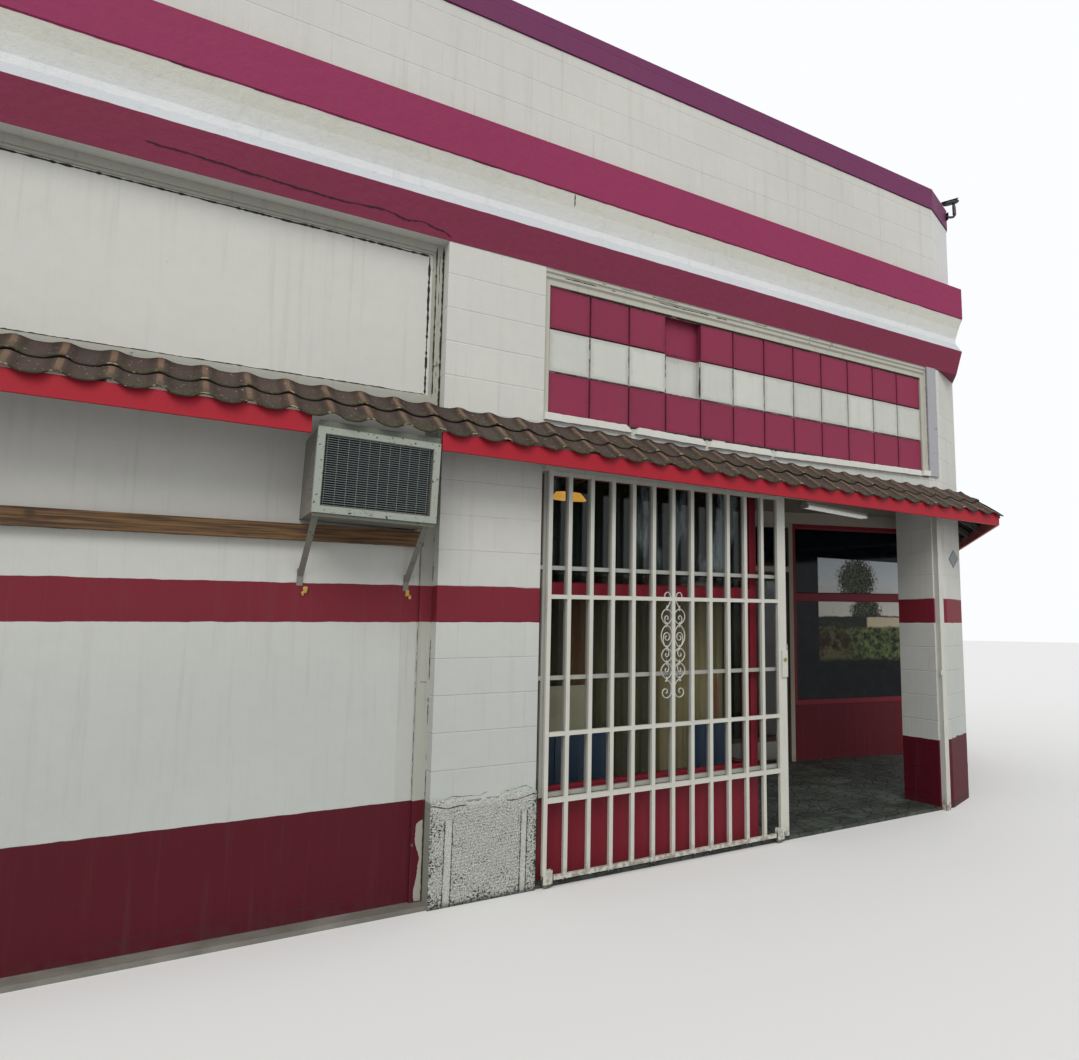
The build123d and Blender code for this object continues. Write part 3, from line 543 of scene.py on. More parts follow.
@dataclass(frozen=True)
class PorchGlass(Finish):
    """The porch's glass, which mirrors the street.

    A dark top and left side, pale sky with a tree's ragged crowns, a strip of far walls,
    rough grass and a dark foot.

    Attributes:
        name: The material's name.
        corner: The pane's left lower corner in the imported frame, in metres.
        way: Direction along the pane.
    """

    name: str
    corner: tuple[float, float]
    way: tuple[float, float]

    def crown(self, s: Shader, u: Field, x: float, z: float, reach: float) -> Field:
        """How much one crown covers: a disc round (x, z) broken up by fine noise."""
        away = s.math("POWER", u - x, 2.0) + s.math("POWER", s.z - z, 2.0)
        leaves = s.noise(38.0, 6.0, 0.8) * 1.9 - 0.95
        return (1.0 - s.math("SQRT", away) / reach + leaves).step(0.02, 0.2)

    def write(self, s: Shader) -> bpy.types.Material:
        """Writes the mirrored street in zones along (u) and up (z) the pane."""
        u = (s.x - self.corner[0]) * self.way[0] + (s.y - self.corner[1]) * self.way[1]
        z = s.z + (s.noise(6.0, 4.0) * 0.06 - 0.03)
        twigs = s.noise(1.0, 5.0, 0.75, (90.0, 90.0, 12.0)).step(0.62, 0.66)
        crowns = self.crown(s, u, 0.86, 2.03, 0.27).most(self.crown(s, u, 0.98, 1.66, 0.22))
        leaves = s.coats("20241C", (s.noise(60.0).step(0.45, 0.6), "6E765C"))
        sky = s.coats("EFEBE0", (z.step(1.62, 2.2), "E4F0F6"), (twigs * 0.45, "4A4E48"),
                      (crowns, leaves))
        grass = s.coats("1E2A1C", (s.noise(13.0, 6.0, 0.75).step(0.4, 0.62), "7C8A56"))
        ground = s.coats("2B3328", (z.step(1.60, 1.585) * u.step(0.98, 1.0), "E2D3B3"),
                         (z.step(1.50, 1.47), grass))
        shelf = s.coats("33190F", (s.noise(5.0, 5.0, 0.7).step(0.42, 0.6), "6A6A48"))
        dark = s.coats("070D13", (s.noise(9.0, 5.0, 0.7).step(0.45, 0.7), "18232B"))
        above = (s.z - (u * -0.03 + 2.29)).step(-0.004, 0.004)
        hidden = above.most(u.step(0.352, 0.346)).most(z.step(1.16, 1.08))
        colour = s.coats(sky, (z.step(1.62, 1.60), ground),
                         (z.step(1.62, 1.3) * u.step(0.95, 0.6), shelf), (hidden, dark))
        s.material.surface_render_method = "BLENDED"
        return s.finish(colour, 0.08, Alpha=0.93, Specular_IOR_Level=0.18)


@dataclass(frozen=True)
class PebbleDash(Finish):
    """Grey-white render thrown with fine stones, dirty in its pits."""

    name: str = "pebble_dash"

    def write(self, s: Shader) -> bpy.types.Material:
        """Writes the stones and pits, which the mesh's smooth strips have none of."""
        smooth, dirty = s.attribute("smooth"), s.attribute("dirty")
        stones = s.cells(120.0)
        fine = s.noise(150.0, 3.0, 0.6).step(0.53, 0.59) * (1.0 - smooth)
        pits = (dirty * 0.12 + s.noise(75.0, 4.0, 0.7)).step(0.61, 0.67) * (
            1.0 - smooth * 0.9)
        colour = s.coats("C6C8C3", (stones.step(0.2, 0.7), "A9ABA4"), (fine * 0.65, "4A4A42"),
                         (pits, "34342D"), (s.noise(7.0, 5.0).step(0.58, 0.78) * 0.25,
                                            "7C8068"),
                         ((1.0 - s.z.step(0.0, 0.04)) * 0.7, "2A2A22"))
        relief = pits * -1.2 + (1.0 - stones) * (1.0 - smooth)
        return s.finish(colour, 0.9, relief, 0.003)


@dataclass(frozen=True)
class StampedFloor(Finish):
    """Dark concrete pressed with a fine stone pattern, and plain concrete elsewhere.

    Attributes:
        stamped_from: Place along X from which the pattern is pressed, in metres.
        name: The material's name.
    """

    stamped_from: float
    name: str = "stamped_floor"

    def write(self, s: Shader) -> bpy.types.Material:
        """Writes the pressed joints as the edges of cells whose places are shaken."""
        shake = s.field("ShaderNodeTexNoise", s.place, None, 3.0, output="Color")
        at = s.vector("ADD", s.place, s.tone(shake, 0.14))
        stamped = s.x.step(self.stamped_from - 0.002, self.stamped_from + 0.002)
        joint = (1.0 - s.cells(8.5, "DISTANCE_TO_EDGE", at).step(0.02, 0.08)) * stamped
        dark = s.coats("2D332F", (s.noise(3.5, 5.0).step(0.35, 0.65), "474E47"))
        colour = s.coats("6B6862", (s.noise(3.0, 6.0, 0.6).step(0.35, 0.65), "827F78"),
                         (stamped, dark), (joint * 0.75, "171B18"))
        return s.finish(colour, s.noise(4.0) * 0.3 + 0.5, joint * -1.0 + s.noise(18.0, 5.0),
                        0.005)


@dataclass(frozen=True)
class Glowing(Finish):
    """A lit lamp cover, its glow mottled a little.

    Attributes:
        name: The material's name.
        colour: The light's colour.
        strength: How brightly it glows.
    """

    name: str
    colour: str
    strength: float

    def write(self, s: Shader) -> bpy.types.Material:
        """Writes the glow, mottled a little."""
        colour = s.tone(self.colour, s.noise(30.0) * 0.5 + 0.75)
        return s.finish(colour, 0.4, Emission_Color=colour, Emission_Strength=self.strength)


@dataclass(frozen=True)
class PlainFinish(Finish):
    """A quiet finish with a little mottling and grain.

    Attributes:
        name: The material's name.
        colour: Its main colour.
        rough: Its roughness.
        metal: How metallic it is.
        mottle: How much its value wanders.
        grain: Scale of the grain.
        depth: Depth of the grain, in metres.
    """

    name: str
    colour: str
    rough: float = 0.6
    metal: float = 0.0
    mottle: float = 0.25
    grain: float = 80.0
    depth: float = 0.0008

    def write(self, s: Shader) -> bpy.types.Material:
        """Writes the mottling and the grain."""
        value = s.noise(5.0, 5.0) * self.mottle + (1 - self.mottle / 2)
        return s.finish(s.tone(self.colour, value), self.rough, s.noise(self.grain, 4.0),
                        self.depth, Metallic=self.metal)


# ---------------------------------------------------------------- surfaces from arrays


def xyz(x: object, y: object, z: object) -> Array:
    """Points from three coordinates that broadcast together, along a new last axis."""
    return np.stack(np.broadcast_arrays(x, y, z), -1).astype(float)


def on_wall(depth: float, *places: tuple[float, float]) -> Array:
    """Points at one depth from their places along the wall and heights."""
    return np.insert(np.array(places, float), 1, depth, axis=1)


def unit(rows: Array) -> Array:
    """Directions of length one, row by row."""
    return rows / np.linalg.norm(rows, axis=-1, keepdims=True)


def circle(count: int, stop: float = 2 * np.pi, closed: bool = True) -> Array:
    """Cosines and sines of evenly spaced turns from 0 to stop, which a closed ring omits."""
    turn = np.linspace(0, stop, count + closed)[:count]
    return np.stack([np.cos(turn), np.sin(turn)], -1)


def grid_faces(rows: int, columns: int, wrap_rows: bool = False,
               wrap_columns: bool = False) -> Array:
    """Quads between neighbouring points of a grid, counter-clockwise in (column, row).

    Args:
        rows: Number of rows of points.
        columns: Number of points in a row.
        wrap_rows: Whether the last row joins the first.
        wrap_columns: Whether each row closes on itself.

    Returns:
        One row of four point numbers for each quad.
    """
    i = np.arange(rows - (not wrap_rows))[:, None]
    j = np.arange(columns - (not wrap_columns))[None]
    i2, j2 = (i + 1) % rows, (j + 1) % columns
    quads = np.broadcast_arrays(i * columns + j, i * columns + j2, i2 * columns + j2,
                                i2 * columns + j)
    return np.stack(quads, -1).reshape(-1, 4)


def tube(rings: Array, closed: bool = False) -> Part:
    """A skin over a row of rings.

    Args:
        rings: Points by ring, place in the ring and coordinate.
        closed: Whether the last ring joins the first, in place of two flat ends.

    Returns:
        The points and the face arrays.
    """
    n, k = rings.shape[:2]
    faces = [grid_faces(n, k, closed, True)]
    if not closed:
        faces += [np.arange(k)[None, ::-1], (n - 1) * k + np.arange(k)[None]]
    return rings.reshape(-1, 3), faces


def swept(path: Array, section: Array, side: Array, top: Array) -> Part:
    """A closed section carried along a path.

    Each point is the path's point plus the section's coordinates times that point's side
    and top directions.

    Args:
        path: The path's points.
        section: The closed section.
        side: Direction of the first coordinate, one for all or one for each point.
        top: Direction of the second coordinate, likewise.

    Returns:
        The points and the face arrays.
    """
    side, top = (np.broadcast_to(way, path.shape)[:, None] for way in (side, top))
    return tube(path[:, None] + section[None, :, :1] * side + section[None, :, 1:] * top)


def rounded_section(width: float, depth: float, radius: float, corners: int = 3) -> Array:
    """A rectangle with quarter-circle corners, centred, counter-clockwise.

    Each corner is the corner's centre plus the radius times (cos, sin) of its turn.
    """
    turn = np.linspace(0, np.pi / 2, corners)[None, :] + np.arange(4)[:, None] * np.pi / 2
    signs = np.array([(1, 1), (-1, 1), (-1, -1), (1, -1)], float)
    middle = signs * (width / 2 - radius, depth / 2 - radius)
    ring = middle[:, None, :] + radius * np.stack([np.cos(turn), np.sin(turn)], -1)
    return ring.reshape(-1, 2)


def bars(starts: object, ends: object, section: Array, up: Array) -> list[Part]:
    """Straight bars, each the section carried from a start to its end, with flat ends.

    The section's first coordinate goes along the bar's axis crossed with up.

    Args:
        starts: One start point a row.
        ends: One end point a row.
        section: The closed section, counter-clockwise.
        up: The direction of the section's second coordinate.

    Returns:
        Each bar's points and face arrays.
    """
    starts, ends = np.atleast_2d(starts).astype(float), np.atleast_2d(ends).astype(float)
    axis = unit(ends - starts)
    side = unit(np.cross(axis, np.broadcast_to(up, axis.shape)))
    return [swept(np.stack(line), section, s, np.cross(s, a))
            for *line, s, a in zip(starts, ends, side, axis)]


def framed(box: tuple[float, ...], section: Array, depth: float) -> Part:
    """A section carried round an upright rectangle, mitred at its corners.

    Args:
        box: Left, low, right and high edge.
        section: Distance inwards from the edge, and depth.
        depth: Depth that the section's is added to.

    Returns:
        The points and the face arrays.
    """
    left, low, right, high = box
    corners = np.array([(left, low), (right, low), (right, high), (left, high)], float)
    inward = np.array([(1, 1), (-1, 1), (-1, -1), (1, -1)], float)
    flat = corners[:, None] + inward[:, None] * section[None, :, :1]
    return tube(xyz(flat[..., 0], depth + section[:, 1], flat[..., 1]), closed=True)


def bead(radius: float) -> Array:
    """A quarter-round glazing bead, as distance inwards from the frame and depth."""
    return np.concatenate([[(0, 0)], circle(4, np.pi / 2, False) * (radius, -radius)])


def through(knots: object, steps: int = 6) -> Array:
    """A smooth line through knots, as a Catmull-Rom curve.

    Between two knots b and c, with neighbours a and d, the point at share s is half of
    2b + (c - a) s + (2a - 5b + 4c - d) s² + (3b - a - 3c + d) s³.

    Args:
        knots: The points that the line goes through.
        steps: Points for each run between two knots.

    Returns:
        The line's points.
    """
    k = np.asarray(knots, float)
    k = np.concatenate([2 * k[:1] - k[1:2], k, 2 * k[-1:] - k[-2:-1]])
    a, b, c, d = (k[i:len(k) - 3 + i, None, :] for i in range(4))
    s = (np.arange(steps) / steps)[None, :, None]
    line = 0.5 * (2 * b + (c - a) * s + (2 * a - 5 * b + 4 * c - d) * s ** 2
                  + (3 * b - a - 3 * c + d) * s ** 3)
    return np.concatenate([line.reshape(-1, k.shape[1]), k[-2:-1]])


def ragged(line: object, across: Array, out: Array, width: float, jag: float, seed: int,
           thick: float = 0.8, broken: float = 0.0) -> list[Part]:
    """A thin strip of uneven width that wanders along a line, as a gap or crack does.

    Its middle is the line moved sideways by smoothed noise times jag, and its width is
    the given width times a noise from 0.4 to 1.5, running out at both ends.

    Args:
        line: The line's corner points.
        across: The sideways direction in the surface.
        out: The direction out of the surface.
        width: Its usual width.
        jag: How far it wanders.
        seed: Number that sets its noise.
        thick: How far it stands out of the surface.
        broken: Share of the line that is left out.

    Returns:
        The strips.
    """
    line, spacing = np.asarray(line, float), 16
    run = np.concatenate([[0], np.cumsum(np.linalg.norm(np.diff(line, axis=0), axis=1))])
    count = max(6, int(run[-1] / spacing))
    at = np.linspace(0, run[-1], count)
    path = np.stack([np.interp(at, run, line[:, i]) for i in range(3)], -1)
    rng = np.random.default_rng(seed)
    shift = np.convolve(rng.normal(0, 1, count + 4), np.full(5, 0.2), "valid")
    path = path + (jag * shift)[:, None] * across
    wide = width * (0.4 + 1.1 * rng.random(count))
    keep = np.convolve(rng.random(count + 6), np.full(7, 1 / 7), "valid")
    keep = keep >= np.quantile(keep, broken)
    edges = np.flatnonzero(np.diff(np.concatenate([[0], keep.astype(int), [0]])))
    section = np.array([(-0.5, 0), (0.5, 0), (0.5, 1), (-0.5, 1)])
    strips = []
    for start, stop in edges.reshape(-1, 2):
        if stop - start >= 3:
            w = wide[start:stop].copy()
            w[[0, -1]] *= 0.2
            strips.append(tube(path[start:stop, None]
                               + section[None, :, :1] * w[:, None, None] * across
                               + section[None, :, 1:] * thick * out))
    return strips


# ---------------------------------------------------------------- the building's places


@dataclass
class Plan:
    """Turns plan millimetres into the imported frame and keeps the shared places."""

    left_edge: float = -3515
    front_stop: float = 4370
    facet_length: float = 465
    corner_opening: float = 2400

    def __post_init__(self) -> None:
        """Reads the plan's origin from the piers and works out the corner's turns.

        From the wall's right end the face turns by an eighth of a half circle three
        times: the front facet, the slanting opening and the right facet.
        """
        self.shift = np.array([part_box("middle_pier")[0].x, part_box("left_pier")[0].y, 0.0])
        ways = [np.array([math.cos(i * EIGHTH), math.sin(i * EIGHTH)]) for i in (1, 2, 3)]
        self.front_end = np.array([self.front_stop, 0.0])
        self.porch_start = self.front_end + self.facet_length * ways[0]
        porch_stop = self.porch_start + self.corner_opening * ways[1]
        self.right_start = porch_stop + self.facet_length * ways[2]
        run = self.facet_length / 2 / math.cos(EIGHTH)
        self.front_mitre = self.front_end + (run, 0)
        self.right_mitre = self.right_start - (0, run)
        self.jamb = np.array([4695, porch_stop[1] + 456])
        inwards = np.array([-ways[1][1], ways[1][0]])
        self.porch_way = unit(porch_stop + 60 * inwards - self.jamb)
        self.foot = np.array([*self.front_end, 0])
        self.facet_way = np.array([*ways[0], 0])
        self.facet_out = np.array([ways[0][1], -ways[0][0], 0])

    def at(self, points: object) -> Array:
        """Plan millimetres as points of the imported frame, in metres."""
        return np.asarray(points, float) / 1000 + self.shift

    def porch(self, points: object) -> Array:
        """Points along (x), into (y) and above (z) the porch wall, as packed points."""
        p = np.asarray(points, float)
        c, s = self.porch_way
        return self.at(xyz(self.jamb[0] + p[..., 0] * c - p[..., 1] * s,
                           self.jamb[1] + p[..., 0] * s + p[..., 1] * c, p[..., 2]))


@dataclass
class SubAssembly:
    """A sub-assembly of the building, which makes and dresses its own pieces."""

    plan: Plan

    def dress(self, finish: Finish, *nodes: str) -> None:
        """Gives CAD nodes a finish on all their material slots."""
        for name in nodes:
            mesh = bpy.data.objects[name].data
            if not mesh.materials:
                mesh.materials.append(None)
            for i in range(len(mesh.materials)):
                mesh.materials[i] = finish.material()

    def add(self, name: str, parts: list[Part], finish: Finish, slot: str | None = None,
            node: str | None = None, body: str = "building", smooth: bool = False,
            place: Callable[[Array], Array] | None = None, turn: bool = True,
            ) -> bpy.types.Object:
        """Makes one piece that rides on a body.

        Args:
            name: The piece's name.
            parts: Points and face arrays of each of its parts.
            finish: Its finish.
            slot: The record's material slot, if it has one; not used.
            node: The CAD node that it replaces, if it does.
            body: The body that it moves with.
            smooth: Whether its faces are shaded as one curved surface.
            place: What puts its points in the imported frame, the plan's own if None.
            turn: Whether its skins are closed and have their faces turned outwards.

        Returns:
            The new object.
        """
        points = (place or self.plan.at)(np.concatenate([part[0] for part in parts]))
        starts = np.cumsum([0] + [len(part[0]) for part in parts])
        faces = [row for (_, groups), start in zip(parts, starts) for group in groups
                 for row in (group + start).tolist()]
        mesh = bpy.data.meshes.new(name)
        mesh.from_pydata(points.tolist(), [], faces)
        mesh.validate()
        mesh.polygons.foreach_set("use_smooth", np.full(len(mesh.polygons), smooth))
        mesh.materials.append(finish.material())
        piece = bpy.data.objects.new(name, mesh)
        bpy.context.scene.collection.objects.link(piece)
        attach(piece, body)
        if turn:
            work = bmesh.new()
            work.from_mesh(mesh)
            bmesh.ops.recalc_face_normals(work, faces=work.faces)
            work.to_mesh(mesh)
            work.free()
        if node:
            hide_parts(node)
        log.info("%s: %d faces", name, len(mesh.polygons))
        return piece

    def sheet(self, name: str, parts: list[Part], finish: Finish, slot: str,
              thickness: float, smooth: bool = False) -> bpy.types.Object:
        """A piece made as an open surface and given a thickness, in metres."""
        piece = self.add(name, parts, finish, slot, smooth=smooth, turn=False)
        piece.modifiers.new("thickness", "SOLIDIFY").thickness = thickness
        return piece

    def mark(self, piece: bpy.types.Object, **layers: Array) -> None:
        """Stores numbers at a piece's points for its finish to read."""
        for label, values in layers.items():
            layer = piece.data.attributes.new(label, "FLOAT", "POINT")
            layer.data.foreach_set("value", np.ravel(values).astype(np.float32))

    def gaps(self, name: str, code: str, slot: str | None, *lines: Line) -> None:
        """Dark gaps and cracks as one piece, each line given as ragged takes it."""
        strips = [strip for line in lines for strip in ragged(*line)]
        self.add(name, strips, PlainFinish(name, code, 0.95, 0.0, 0.3, 60.0), slot)


STRIPES = ((0.56, Paint.CREAM), (1.53, Paint.STRIPE), (1.735, Paint.CREAM))
CAP = (5.264, Paint.CAP)
MAROON = PaintedFace("bulkhead_paint", Surface.BOARD, Paint.BULKHEAD, peel=0.08,
                     under="4A2A22", grime=0.4, rough=0.45)


class BlockShell(SubAssembly):
    """The painted block walls, piers and columns with their cap, cornice and roof."""

    def dress_all(self) -> None:
        """Paints the walls, piers, columns and cornice, and lays the roof and floor."""
        street = PaintedFace("street_wall", Surface.BLOCK, Paint.BASE, (*STRIPES, CAP),
                             grime=0.35, low_shade=0.8)
        self.dress(street, "left_pier", "front_column", "right_column", "right_wall",
                   "front_upper_wall")
        # Painted light: the corner facet's paint is brighter and bluer than the front walls',
        # as it is lit more.
        facet = PaintedFace("lit_facet_wall", Surface.BLOCK, "D7D8D6", (CAP,), grime=0.3)
        self.dress(facet, "corner_upper_wall")
        pier = PaintedFace("pier_wall", Surface.BLOCK, "9A9A90", (
            (0.553, Paint.CREAM), *STRIPES[1:]), grime=0.3, low_shade=1.0)
        self.dress(pier, "middle_pier")
        plain = PaintedFace("plain_wall", Surface.BLOCK, Paint.SHADE_CREAM, (CAP,), grime=0.7)
        self.dress(plain, "left_wall", "back_wall", "gate_beam")
        # Painted light in the cove: bluish where its lower part faces the sky, creamier and
        # darker up under the overhang.
        stucco = PaintedFace("cornice_stucco", Surface.STUCCO, Paint.LOW_BAND, (
            (3.968, "C4C8CD"), (4.045, "DFE1E2"), (4.115, "DFDFDA"), (4.18, "D9D8CE"),
            (4.2635, Paint.BAND)), grime=0.3, rough=0.7)
        self.dress(stucco, "cornice_front", "cornice_corner", "cornice_right")
        self.dress(PlainFinish("roof_felt", "77777A", 0.92, 0.0, 0.35, 160.0, 0.002),
                   "roof_deck")
        # Painted shade: the porch ceiling's boards are made dark grey.
        self.dress(PaintedFace("shaded_porch_ceiling", Surface.BOARD, "7A756A", peel=0.1, grime=0.6),
                   "ceiling")
        self.dress(StampedFloor(self.plan.shift[0] + 0.6), "floor_slab")

    def felt_laps(self) -> None:
        """Lapped seams of the roof felt, each a flat strip with a soft wave."""
        rows = np.arange(900, 6300, 915.0)[:, None]
        stop = np.minimum(6450, self.plan.porch_start[0] + rows - self.plan.porch_start[1]
                          - 340)
        x = -3290 + (stop + 3290) * np.linspace(0, 1, 80)
        across = np.array([-30.0, -22.0, 22.0, 30.0])
        wave = 2.5 * np.sin(x / 310 + rows)
        points = xyz(x[..., None], rows[..., None] + across + wave[..., None],
                     4400.2 + np.array([0.0, 3.0, 3.0, 0.0]))
        faces = [grid_faces(*x.shape[1:], len(across))[:, ::-1]]
        self.sheet("felt_laps", [(lap.reshape(-1, 3), faces) for lap in points],
                   PlainFinish("felt_lap", "4E4E50", 0.8, 0.0, 0.3, 90.0, 0.002),
                   "roof_felt", 0.002)

    def cracks(self) -> None:
        """The long crack in the cornice's lower band and the small ones in the hollow.

        The lower band leans out by 54 mm over its 205 mm, from 4 mm at the lintel, and
        the hollow by 58 mm over 178 mm, from 8 mm.
        """
        low = np.array([(-1500, 3846), (-1180, 3838), (-960, 3826), (-782, 3821),
                        (-663, 3819), (-581, 3816), (-470, 3826), (-404, 3832),
                        (-236, 3813), (-148, 3822), (-41, 3803), (9, 3778)], float)
        rise = np.array([(776, 4262), (781, 4210), (786, 4160), (793, 4100)], float)
        low, rise = (xyz(at[:, 0], -(foot + lean * (at[:, 1] - start) / height), at[:, 1])
                     for at, foot, lean, start, height in (
                         (low, 4, 54, 3760, 205), (rise, 8, 58, 4090, 178)))
        self.gaps("cornice_cracks", "2A1418", None, (low, UP, OUT, 8, 5, 4, 1.2),
                  (rise, SIDE, OUT, 7, 4, 9, 1.0, 0.5),
                  (on_wall(-66.5, (-3400, 4266), (4300, 4266)), UP, OUT, 3, 2, 12, 0.8, 0.75))
        hair = on_wall(-0.2, (2, 535), (120, 577), (275, 560), (315, 581), (440, 572),
                       (554, 590), (600, 566))
        self.gaps("pier_cracks", "56564C", "painted_block",
                  (hair, UP, OUT, 2.6, 4, 21, 0.5, 0.1))

    def build(self) -> None:
        """Dresses the shell and adds its small pieces."""
        self.dress_all()
        self.felt_laps()
        self.cracks()


@dataclass
class Awning(SubAssembly):
    """The tiled awning: two courses of waved tiles, the fascia and the rafters."""

    pitch: float = 182
    overhang: float = 290
    top: float = 2660
    eave: float = 2468
    rise: float = 0.9
    lip: float = 40
    lap: float = 45
    stack: float = 11
    thickness: float = 14
    roll: float = 36
    right_return: float = 760
    run_on: float = 400

    def wave(self, run: Array) -> Array:
        """Height of the tile at a distance along the run.

        It is the roll's height times a raised cosine, narrowed by a power, so that the
        pans are wide bowls and the rolls have a ridge.
        """
        phase = run / self.pitch - 0.815
        return self.roll * ((1 + np.cos(2 * np.pi * phase)) / 2) ** 1.7

    def course(self, name: str, origin: Array, turn: float, ends: tuple[float, ...],
               start: float, rise: float) -> None:
        """Lays both courses of one run as one piece.

        A point lies at (s, t): s along the run between its two ends, which slant with the
        mitres, and t down the slope. Its height is the slope's plane plus the wave, less
        s times the run's own rise. Each tile's lower edge is a little higher, lower,
        longer or shorter than its neighbour's.

        Args:
            name: The run's name.
            origin: Plan point that s is counted from.
            turn: The run's direction.
            ends: Start of the run at the wall and its change for each mm outwards, then
                the same for its end.
            start: Place along the run where the first tile begins.
            rise: Height lost for each mm along the run.
        """
        drop = self.top - self.eave
        slope = math.hypot(self.overhang, drop)
        out_step, down_step = self.overhang / slope, drop / slope
        length = (slope + self.lip + self.lap) / 2
        columns = int(abs(ends[2] - ends[0]) / self.pitch * 18) + 2
        rows = np.array([0, 0.2, 0.4, 0.6, 0.75, 0.86, 0.93, 0.97, 1.0])
        down = rows[:, None]
        parts, layers = [], {"pan": [], "edge": [], "tile": [], "under": []}
        for index in (0, 1):
            t = index * (length - self.lap) + down * length
            out = t * out_step
            low, high = ends[0] + ends[1] * out, ends[2] + ends[3] * out
            s = low + (high - low) * np.linspace(0, 1, columns)
            number = np.floor((s - start) / self.pitch)
            longer = 5.0 * np.sin(number * 4.71 + index * 2.3) * down ** 4
            height = (self.wave(s - start) * (0.55 + 0.45 * down ** 0.7)
                      + 4.0 * np.sin(number * 12.9898 + index * 4.1) * down ** 3)
            if index == 0:
                height = height + self.stack + 14 * down ** 3
            shells = []
            for up in (height + self.thickness - 5.0 * down ** 8, height):
                y = -(out + longer * out_step - up * down_step)
                z = self.top - (t + longer) * down_step + up * out_step - s * rise
                shells.append(xyz(s, np.minimum(y, -1.0), z))
            shell = np.concatenate([shells[0], shells[1][::-1]])
            ring = np.arange(len(shell)) * columns
            parts.append((shell.reshape(-1, 3), [
                grid_faces(*shell.shape[:2], wrap_rows=True)[:, ::-1], ring[None],
                (ring + columns - 1)[None, ::-1]]))
            shade = np.modf(np.abs(np.sin(number * 78.233 + index * 9.7)) * 43.7)[0]
            for key, values in (("pan", 1 - self.wave(s - start) / self.roll),
                                ("edge", down ** 2.5), ("tile", shade)):
                values = np.broadcast_to(values, s.shape)
                layers[key] += [values, values[::-1]]
            # The underside's mark, which the tile finish paints near black as shade.
            layers["under"] += [np.zeros(s.shape), np.ones(s.shape)]
        c, q = math.cos(turn), math.sin(turn)
        piece = self.add(f"{name}_tiles", parts, RoofTile(), "roof_tile", f"tiles_{name}",
                         smooth=True, turn=False, place=lambda p: self.plan.at(xyz(
                             origin[0] + p[:, 0] * c - p[:, 1] * q,
                             origin[1] + p[:, 0] * q + p[:, 1] * c, p[:, 2])))
        self.mark(piece, **{key: np.concatenate(rows) for key, rows in layers.items()})
        flat = np.array([len(face.vertices) == 4 for face in piece.data.polygons])
        piece.data.polygons.foreach_set("use_smooth", flat)

    def build(self) -> None:
        """Lays the three runs of tiles and dresses the timber."""
        plan = self.plan
        mitre = math.tan(EIGHTH)
        corner = np.linalg.norm(plan.right_mitre - plan.front_mitre)
        spread = plan.front_mitre[0] - plan.left_edge
        far = plan.right_start[1] + self.right_return - plan.right_mitre[1]
        self.course("front", plan.front_mitre, 0.0, (-spread, 0.0, 0.0, mitre), -spread,
                    math.tan(math.radians(self.rise)))
        self.course("corner", plan.front_mitre, 2 * EIGHTH, (0.0, -mitre, corner, mitre),
                    -self.run_on, 0.0)
        self.course("right", plan.right_mitre, 4 * EIGHTH, (0.0, -mitre, far, 0.0),
                    -self.run_on, 0.0)
        for run, name, code, peel, under, grime, rough in (
                ("front", "fascia_paint", Paint.FASCIA, 0.1, "6E5A4C", 0.25, 0.5),
                # Painted sunlight: the corner run's fascia is a paler pink red; its peeling is
                # real wear.
                ("corner", "sunlit_worn_fascia", "B4564F", 0.4, "8A7466", 0.3, 0.6),
                ("right", "bleached_fascia", "8A3A3A", 0.75, "7D8078", 0.4, 0.7)):
            self.dress(PaintedFace(name, Surface.BOARD, code, peel=peel, under=under,
                                   grime=grime, rough=rough), f"fascia_{run}")
            self.dress(BareWood("awning_timber", "86877B", "54574F"), f"awning_frame_{run}")


